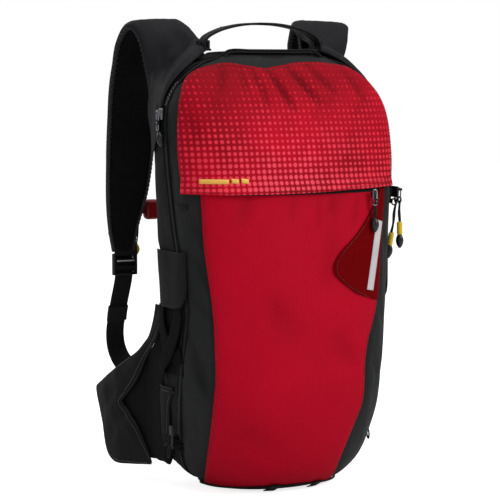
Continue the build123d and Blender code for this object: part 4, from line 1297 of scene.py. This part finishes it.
WING_EDGE = [(67, 227), (72, 209), (82, 188), (96, 173), (108, 163), (142, 143), (191, 116), (207, 107),
             (204, 94), (190, 66), (178, 32), (157, 18), (123, 20), (98, 23), (82, 25)]
WING_VEE = [(38, 227), (45, 221), (54, 208), (66, 186), (82, 168), (91, 155), (106, 130), (122, 113), (137, 98),
            (126, 86), (107, 69), (97, 53), (88, 39), (81, 26)]
WING_CREASES = (((118, 96), (176, 40), 7, 2.6), ((132, 116), (188, 84), 6, 2.0),
                ((112, 52), (160, 24), 5, 1.6), ((100, 168), (140, 132), 5, 1.4))


def wing_x(y):
    """Outer face of the left hip wing at depth y."""
    return np.interp(y, [50, 66, 86, 112, 142, 172, 210], [-134, -135, -137, -143.5, -150.5, -153.5, -154])


def on_wing(piece):
    """Bakes the piece's placement into its mesh."""
    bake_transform(piece)


def hip_pad(side, edge, t):
    """The wing's inflated foam form, from its root on the pack to its free edge."""
    rows = len(edge)
    root = np.stack([np.interp(np.arange(rows), [0, 22, 34, rows - 1], [44, 48, 38, 46]),
                     np.linspace(212, 24, rows)], axis=1)
    whole = root[:, None] * (1 - t) + (edge[:, None] * 0.97 + np.array([3.5, 2.6])) * t
    y, z = whole[..., 0], whole[..., 1]
    outer = np.stack([wing_x(y) + 4.5, y, z], axis=-1)
    verts, faces = closed_form(mirror(outer, side), mirror(outer + 6.0 * X_AXIS, side))
    if side == RIGHT:
        faces = [f[::-1] for f in faces]
    pad = finish_piece(f"hip_pad_{TAG[side]}", verts, faces, MESH_BLACK)
    puff(pad, 4.5)
    on_wing(pad)
    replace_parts(pad, f"hip_wing_{TAG[side]}")


def hip_wing(side):
    """Padded wing: the foam form inside a loose cover with a V-shaped opening."""
    rows, cols = 40, 34
    edge, vee = smooth_curve(WING_EDGE, rows), smooth_curve(WING_VEE, rows)
    t = np.linspace(0, 1, cols)[None, :, None]
    hip_pad(side, edge, t)
    cover = vee[:, None] * (1 - t) + edge[:, None] * t
    y, z = cover[..., 0], cover[..., 1]
    t = t[..., 0]
    rise = np.sin(np.linspace(0, math.pi, rows))[:, None]
    middle = np.sin(t * math.pi) * rise
    face = np.stack([wing_x(y), y, z], axis=-1)
    proud = 1.5 + 5.0 * middle ** 0.6 + 2.2 * (1 - t) * rise
    proud += folded(face, (30, 26, 22), 1.8, 91.0 + side) * np.clip(middle * 3, 0, 1)
    face[..., 0] -= proud + creased(y, z, WING_CREASES)[0]
    on_wing(sheet(f"hip_cover_{TAG[side]}", mirror(face, side), CLOTH_WING, None, uv=(y, z), thickness=1.6,
                  inward=side == LEFT))
    for name, border, sewn in (("vee", 0, 2), ("edge", -1, -3)):
        line = mirror(smooth_curve(face[:, border], 150), side)
        on_wing(tube(f"hip_{name}_binding_{TAG[side]}", line, 1.5, BINDING, None))
        line = mirror(face[:, sewn] - 0.9 * X_AXIS, side)
        seam = bead_rows(f"hip_{name}_stitch_{TAG[side]}", line, side * X_AXIS, STITCH, 3.8, THREAD, None)
        on_wing(seam)


# ---------------------------------------------------------------- back, handle and pulls

PAD_X = 63
PAD_HEIGHTS = ((70, 180), (186, 300), (306, 420))
HANDLE_HALF = [(82, 541), (81, 549.5), (74, 558), (52, 567), (20, 572.5)]     # (x, z) from a foot to the middle


def rounded_frame(x, z, half_x, half_z, radius, steps=6):
    """A closed rounded rectangle round (x, z)."""
    points = []
    for cx, cz, start in ((1, 1, 0), (-1, 1, 90), (-1, -1, 180), (1, -1, 270)):
        for i in range(steps + 1):
            a = math.radians(start + 90 * i / steps)
            points.append((x + cx * (half_x - radius) + radius * math.cos(a),
                           z + cz * (half_z - radius) + radius * math.sin(a)))
    return points + points[:1]


def groove_pad(pad, x, z):
    """Sews two crossing channels into a pad."""
    for vertex in pad.data.vertices:
        px, py, pz = vertex.co * 1000
        if py > 79:
            near = min(abs(abs(px - x) - 14 - abs(pz - z) * 0.12), abs(pz - z) + 2)
            vertex.co.y -= 2.6 * MM * math.exp(-(near / 3.0) ** 2)


def back_pad(name, x0, low, high):
    """One inflated pad in spacer mesh with a bound edge."""
    u, v = np.meshgrid(np.linspace(-1, 1, 18), np.linspace(-1, 1, 26))
    z0 = (low + high) / 2
    x = x0 + 32.5 * u * (1 - 0.05 * v ** 2)
    z = z0 + (high - low - 6) / 2 * v * (1 - 0.05 * u ** 2)
    crown = (1 - u ** 6) * (1 - v ** 6)
    back = np.stack([x, 77.0 + 0 * x, z], axis=-1)
    front = np.stack([x, 79.5 + 7.5 * crown, z], axis=-1)
    verts, faces = closed_form(front, back)
    pad = finish_piece(name, verts, [f[::-1] for f in faces], MESH_BACK)
    puff(pad, 4.0)
    groove_pad(pad, x0, z0)
    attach(pad, "pack")
    rim = [(px, 77.2, pz) for px, pz in rounded_frame(x0, z0, 34, (high - low) / 2 - 1, 9)]
    tube(name + "_binding", rim, 1.5, BINDING)
    return pad


def back_pads():
    """Six pads in two columns beside an open channel."""
    pads = [back_pad(f"back_pad_{TAG[side]}_{k}", side * PAD_X, low, high)
            for side in (LEFT, RIGHT) for k, (low, high) in enumerate(PAD_HEIGHTS)]
    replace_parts(pads[0], "back_pads")


def channel_mesh():
    """Spacer mesh down the middle of the back, left open where the air inlet is."""
    heights = np.linspace(66, 452, 90)
    across = np.linspace(-26, 26, 16)
    grid = np.array([[(x, 75.6 + 0.5 * math.cos(x / 11), z) for x in across] for z in heights])
    for name, part in (("channel_mesh_low", grid[heights < 106]), ("channel_mesh_high", grid[heights > 178])):
        sheet(name, part, MESH_BACK, thickness=0.8, inward=False)


def handle():
    """Webbing loop over the top of the pack with rows of bar tacks at its ends."""
    left = [(-x, 50, z) for x, z in HANDLE_HALF]
    right = [(x, 50, z) for x, z in HANDLE_HALF[::-1]]
    curve = smooth_curve(left + right, 90)
    up = np.cross(unit(np.gradient(curve, axis=0)), Y_AXIS)
    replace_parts(swept("handle_band", curve, band(20, 3.0), WEBBING, "handle", up), "grab_handle")
    for side in (LEFT, RIGHT):
        for k in range(4):
            x = 60 - 4 * k
            z = np.interp(x, [20, 52, 74], [572.5, 567, 558]) + 2.0
            bead_rows(f"handle_bar_{TAG[side]}_{k}", [(side * x, 42, z), (side * x, 58, z)], Z_AXIS,
                      (2.4, 0.9, 0.8), 3.0, THREAD, "handle")


def cord_pull(node, body, side_axis, sleeve=False, lean=(0, 0), foot=None, half_tab=9.5):
    """Metal tab, doubled cord, moulded bead and, on some, a yellow sleeve; hangs where the CAD pull hangs."""
    low, high = mm_box(node)
    middle = (low + high) / 2
    top, foot = high[2] - 1.5, foot or low[2] + 8
    wide, out = (Y_AXIS, X_AXIS) if side_axis else (X_AXIS, Y_AXIS)
    tab = rounded_frame(0, top + 0.5 - half_tab, 2.6, half_tab, 2.2)
    path = [middle * [1, 1, 0] + wide * x + Z_AXIS * z for x, z in tab]
    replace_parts(tube(f"{node}_tab", path, 0.9, ZIP_METAL, body), node)

    def hang(z):
        """Middle of the cord at height z, further along its lean as it gets lower."""
        t = np.clip((top - 18 - z) / (top - 18 - foot), 0, 1.3)
        return np.array([middle[0] + lean[0] * t, middle[1] + lean[1] * t, z])

    for k, way in enumerate((-1, 1)):
        line = [hang(z) + wide * (way * (1.3 + 0.5 * math.sin(z / 4))) + out * 0.5 * math.sin(z / 5)
                for z in np.linspace(foot + 5, top - 15, 40)]
        tube(f"{node}_cord_{k}", line, 1.0, CORD, body)
    loop = [hang(top - 15) + wide * 3.4 * math.sin(a) + Z_AXIS * (3.4 * math.cos(a) + 1)
            for a in np.linspace(0, math.tau, 20)]
    tube(f"{node}_loop", loop, 1.1, CORD, body)
    drop = [hang(z) for z in np.linspace(foot + 9, foot - 8, 18)]
    swell = np.sin(np.linspace(0.45, math.pi - 0.2, 18)) ** 0.8
    swept(f"{node}_bead", drop, circle(5.2, 14), RUBBER, body, out, np.stack([swell, swell * 0.92], axis=1))
    if sleeve:
        covered = [hang(z) for z in np.linspace(foot + 9, foot + 25, 14)]
        ends = np.interp(np.arange(14), [0, 1, 12, 13], [0.82, 1.0, 1.0, 0.82])[:, None]
        swept(f"{node}_sleeve", covered, circle(3.5, 12), YELLOW, body, out, ends)


LOCK_LOOP = [(-133, 169.6, 296), (-131.6, 168.8, 290), (-131.5, 168.3, 286), (-131.5, 168.3, 279.6)]


def lock_webbing():
    """On each ladder lock: the loop that holds it to the strap, the webbing through it and a pale bar."""
    flat = Y_AXIS + 0.1 * Z_AXIS
    for side in (LEFT, RIGHT):
        lock = f"lock_{TAG[side]}"
        loop = mirror(LOCK_LOOP, side)
        swept(f"lock_loop_{TAG[side]}", smooth_curve(loop, 12), band(32, 1.4), WEBBING, "harness", flat)
        threaded = mirror([(-131, 177.2, 279.5), (-131, 177.6, 268), (-131, 177.2, 256)], side)
        swept(f"lock_web_{TAG[side]}", smooth_curve(threaded, 10), band(27, 1.6), WEBBING, lock, flat)
        low, high = mm_box(f"ladder_lock_{TAG[side]}")
        bar = [(x, low[1] - 0.4, high[2] - 9.5) for x in np.linspace(low[0] + 5, high[0] - 5, 8)]
        tube(f"lock_bar_{TAG[side]}", bar, 0.9, PLASTIC_PALE, lock)


def gusset_zips():
    """Coil teeth of the two short zips on the right gusset."""
    heights = np.linspace(350, 454, 30)
    around = np.linspace(100, 260, 200)
    for name in ("booster", "main"):
        low, high = mm_box(name + "_zip_slider")
        depth = (low[1] + high[1]) / 2
        s = [np.interp(depth, skin.at(around, z)[:, 1], around) for z in heights]
        teeth, tape = skin.at(s, heights, 2.2), skin.at(s, heights, 1.0)
        swept(name + "_teeth_tape", tape, band(9, 1.0), TAPE, up=teeth - tape)
        bead_rows(name + "_teeth", teeth, teeth - tape, (1.3, 4.2, 1.5), 2.1, PLASTIC, zigzag=0.3)


def pocket_slider():
    """Small metal slider on the pocket zip, just below the dotted panel's hem."""
    low, high = mm_box("pocket_zip_slider")
    x, y = (low[0] + high[0]) / 2, (low[1] + high[1]) / 2
    path = [(x, y, z) for z in np.linspace(low[2] + 0.5, low[2] + 8.5, 12)]
    waist = np.interp(np.arange(12), [0, 1, 5, 10, 11], [0.55, 0.75, 0.8, 1.0, 0.8])[:, None]
    piece = swept("pocket_slider", path, band(8.6, 6.5), GUNMETAL, "pocket_zip", -Y_AXIS, waist)
    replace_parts(piece, "pocket_zip_slider")


def side_ring():
    """Small black ring that joins the two right sliders' cords."""
    low, high = mm_box("booster_zip_slider")
    x, y, z = (low[0] + high[0]) / 2, (low[1] + high[1]) / 2, low[2] - 6.0
    ring = [(x + 3.8 * math.cos(a), y + 0.6 * math.sin(2 * a), z + 4.2 * math.sin(a))
            for a in np.linspace(0, math.tau, 28)]
    tube("slider_ring", ring, 1.0, RUBBER, "booster_zip")


def lower_loops():
    """Short cord loops on the two lower zip sliders."""
    for side in (LEFT, RIGHT):
        low, high = mm_box(f"lower_zip_slider_{TAG[side]}")
        x = low[0] - 1.0 if side == LEFT else high[0] + 1.0
        y = (low[1] + high[1]) / 2
        loop = [(x + side * 1.2 * math.sin(a / 2), y + 2.6 * math.sin(a), low[2] - 3.5 + 6.5 * math.cos(a))
                for a in np.linspace(0, math.tau, 26)]
        tube(f"lower_loop_{TAG[side]}", loop, 1.1, CORD, f"lower_zip_{TAG[side]}")

# ---------------------------------------------------------------- stage

AMBIENT = 0.3            # how much the white surroundings light the object; the camera sees them white
TARGET = (0, 0.02, 0.28)
VIEW_AIM = (-0.020, 0.0395, 0.2917)
VIEW_TURN, VIEW_RISE = -28, 5
VIEW_AWAY = 2.6
VIEW_LENS = 149.76
LAMPS = (("key", (1.5, -1.9, 1.9), 34, 1.2), ("fill", (-2.2, -1.4, 1.2), 9, 2.0),
         ("rim", (-0.9, 2.0, 1.8), 12, 1.4), ("top", (0.2, -0.2, 2.4), 15, 1.6))


def studio():
    """Pale floor, white surroundings and soft lights."""
    bpy.ops.mesh.primitive_plane_add(size=14, location=(0, 0, -0.0005))
    floor = bpy.context.object
    floor.name = "studio_floor"
    floor.data.materials.append(floor_look())
    world = bpy.data.worlds.new("studio")
    bpy.context.scene.world = world
    world.use_nodes = True
    tree = world.node_tree
    tree.nodes["Background"].inputs[0].default_value = (1, 1, 1, 1)
    rays = tree.nodes.new("ShaderNodeLightPath")
    level = tree.nodes.new("ShaderNodeMapRange")
    level.inputs["To Min"].default_value = AMBIENT
    level.inputs["To Max"].default_value = 1.0
    tree.links.new(rays.outputs["Is Camera Ray"], level.inputs["Value"])
    tree.links.new(level.outputs[0], tree.nodes["Background"].inputs[1])
    target = Vector(TARGET)
    for name, place, power, size in LAMPS:
        light = bpy.data.lights.new(name, "AREA")
        light.energy = power
        light.size = size
        lamp = bpy.data.objects.new(name, light)
        lamp.location = place
        lamp.rotation_euler = (target - Vector(place)).to_track_quat("-Z", "Y").to_euler()
        bpy.context.scene.collection.objects.link(lamp)


def camera():
    """Long lens, 28 degrees to the wearer's left of the front and 5 degrees above."""
    turn, rise = math.radians(VIEW_TURN), math.radians(VIEW_RISE)
    back = Vector((math.sin(turn) * math.cos(rise), -math.cos(turn) * math.cos(rise), math.sin(rise)))
    data = bpy.data.cameras.new("camera")
    data.lens = VIEW_LENS
    eye = bpy.data.objects.new("camera", data)
    eye.location = Vector(VIEW_AIM) + back * VIEW_AWAY
    eye.rotation_euler = (-back).to_track_quat("-Z", "Y").to_euler()
    bpy.context.scene.collection.objects.link(eye)
    bpy.context.scene.camera = eye
    bpy.context.scene.view_settings.view_transform = "Standard"


def build():
    front_shell()
    rear_shell()
    closing_panels()
    seam_zip()
    red_panel()
    dark_patch()
    dotted_panel()
    transfers()
    pocket_zip()
    base_trim()
    for side in (LEFT, RIGHT):
        ski_flap(side)
    for side in (LEFT, RIGHT):
        side_pocket(side)
        strap_recess(side)
        strap_cover(side)
        strap_lining(side)
        strap_trim(side)
        hip_wing(side)
    keeper_and_bead()
    back_pads()
    channel_mesh()
    handle()
    cord_pull("left_zip_pull", "left_pull", True, lean=(0, -8), foot=432, half_tab=12)
    cord_pull("booster_zip_pull", "booster_pull", True, sleeve=True, lean=(-3, 12), foot=285)
    cord_pull("main_zip_pull", "main_pull", True, sleeve=True, lean=(0, -1), foot=300)
    cord_pull("pocket_zip_pull", "pocket_pull", False, foot=325)
    lock_webbing()
    gusset_zips()
    lower_loops()
    pocket_slider()
    side_ring()
    for material, nodes in CAD_LOOKS:
        dress(material, nodes)


build()
studio()
camera()
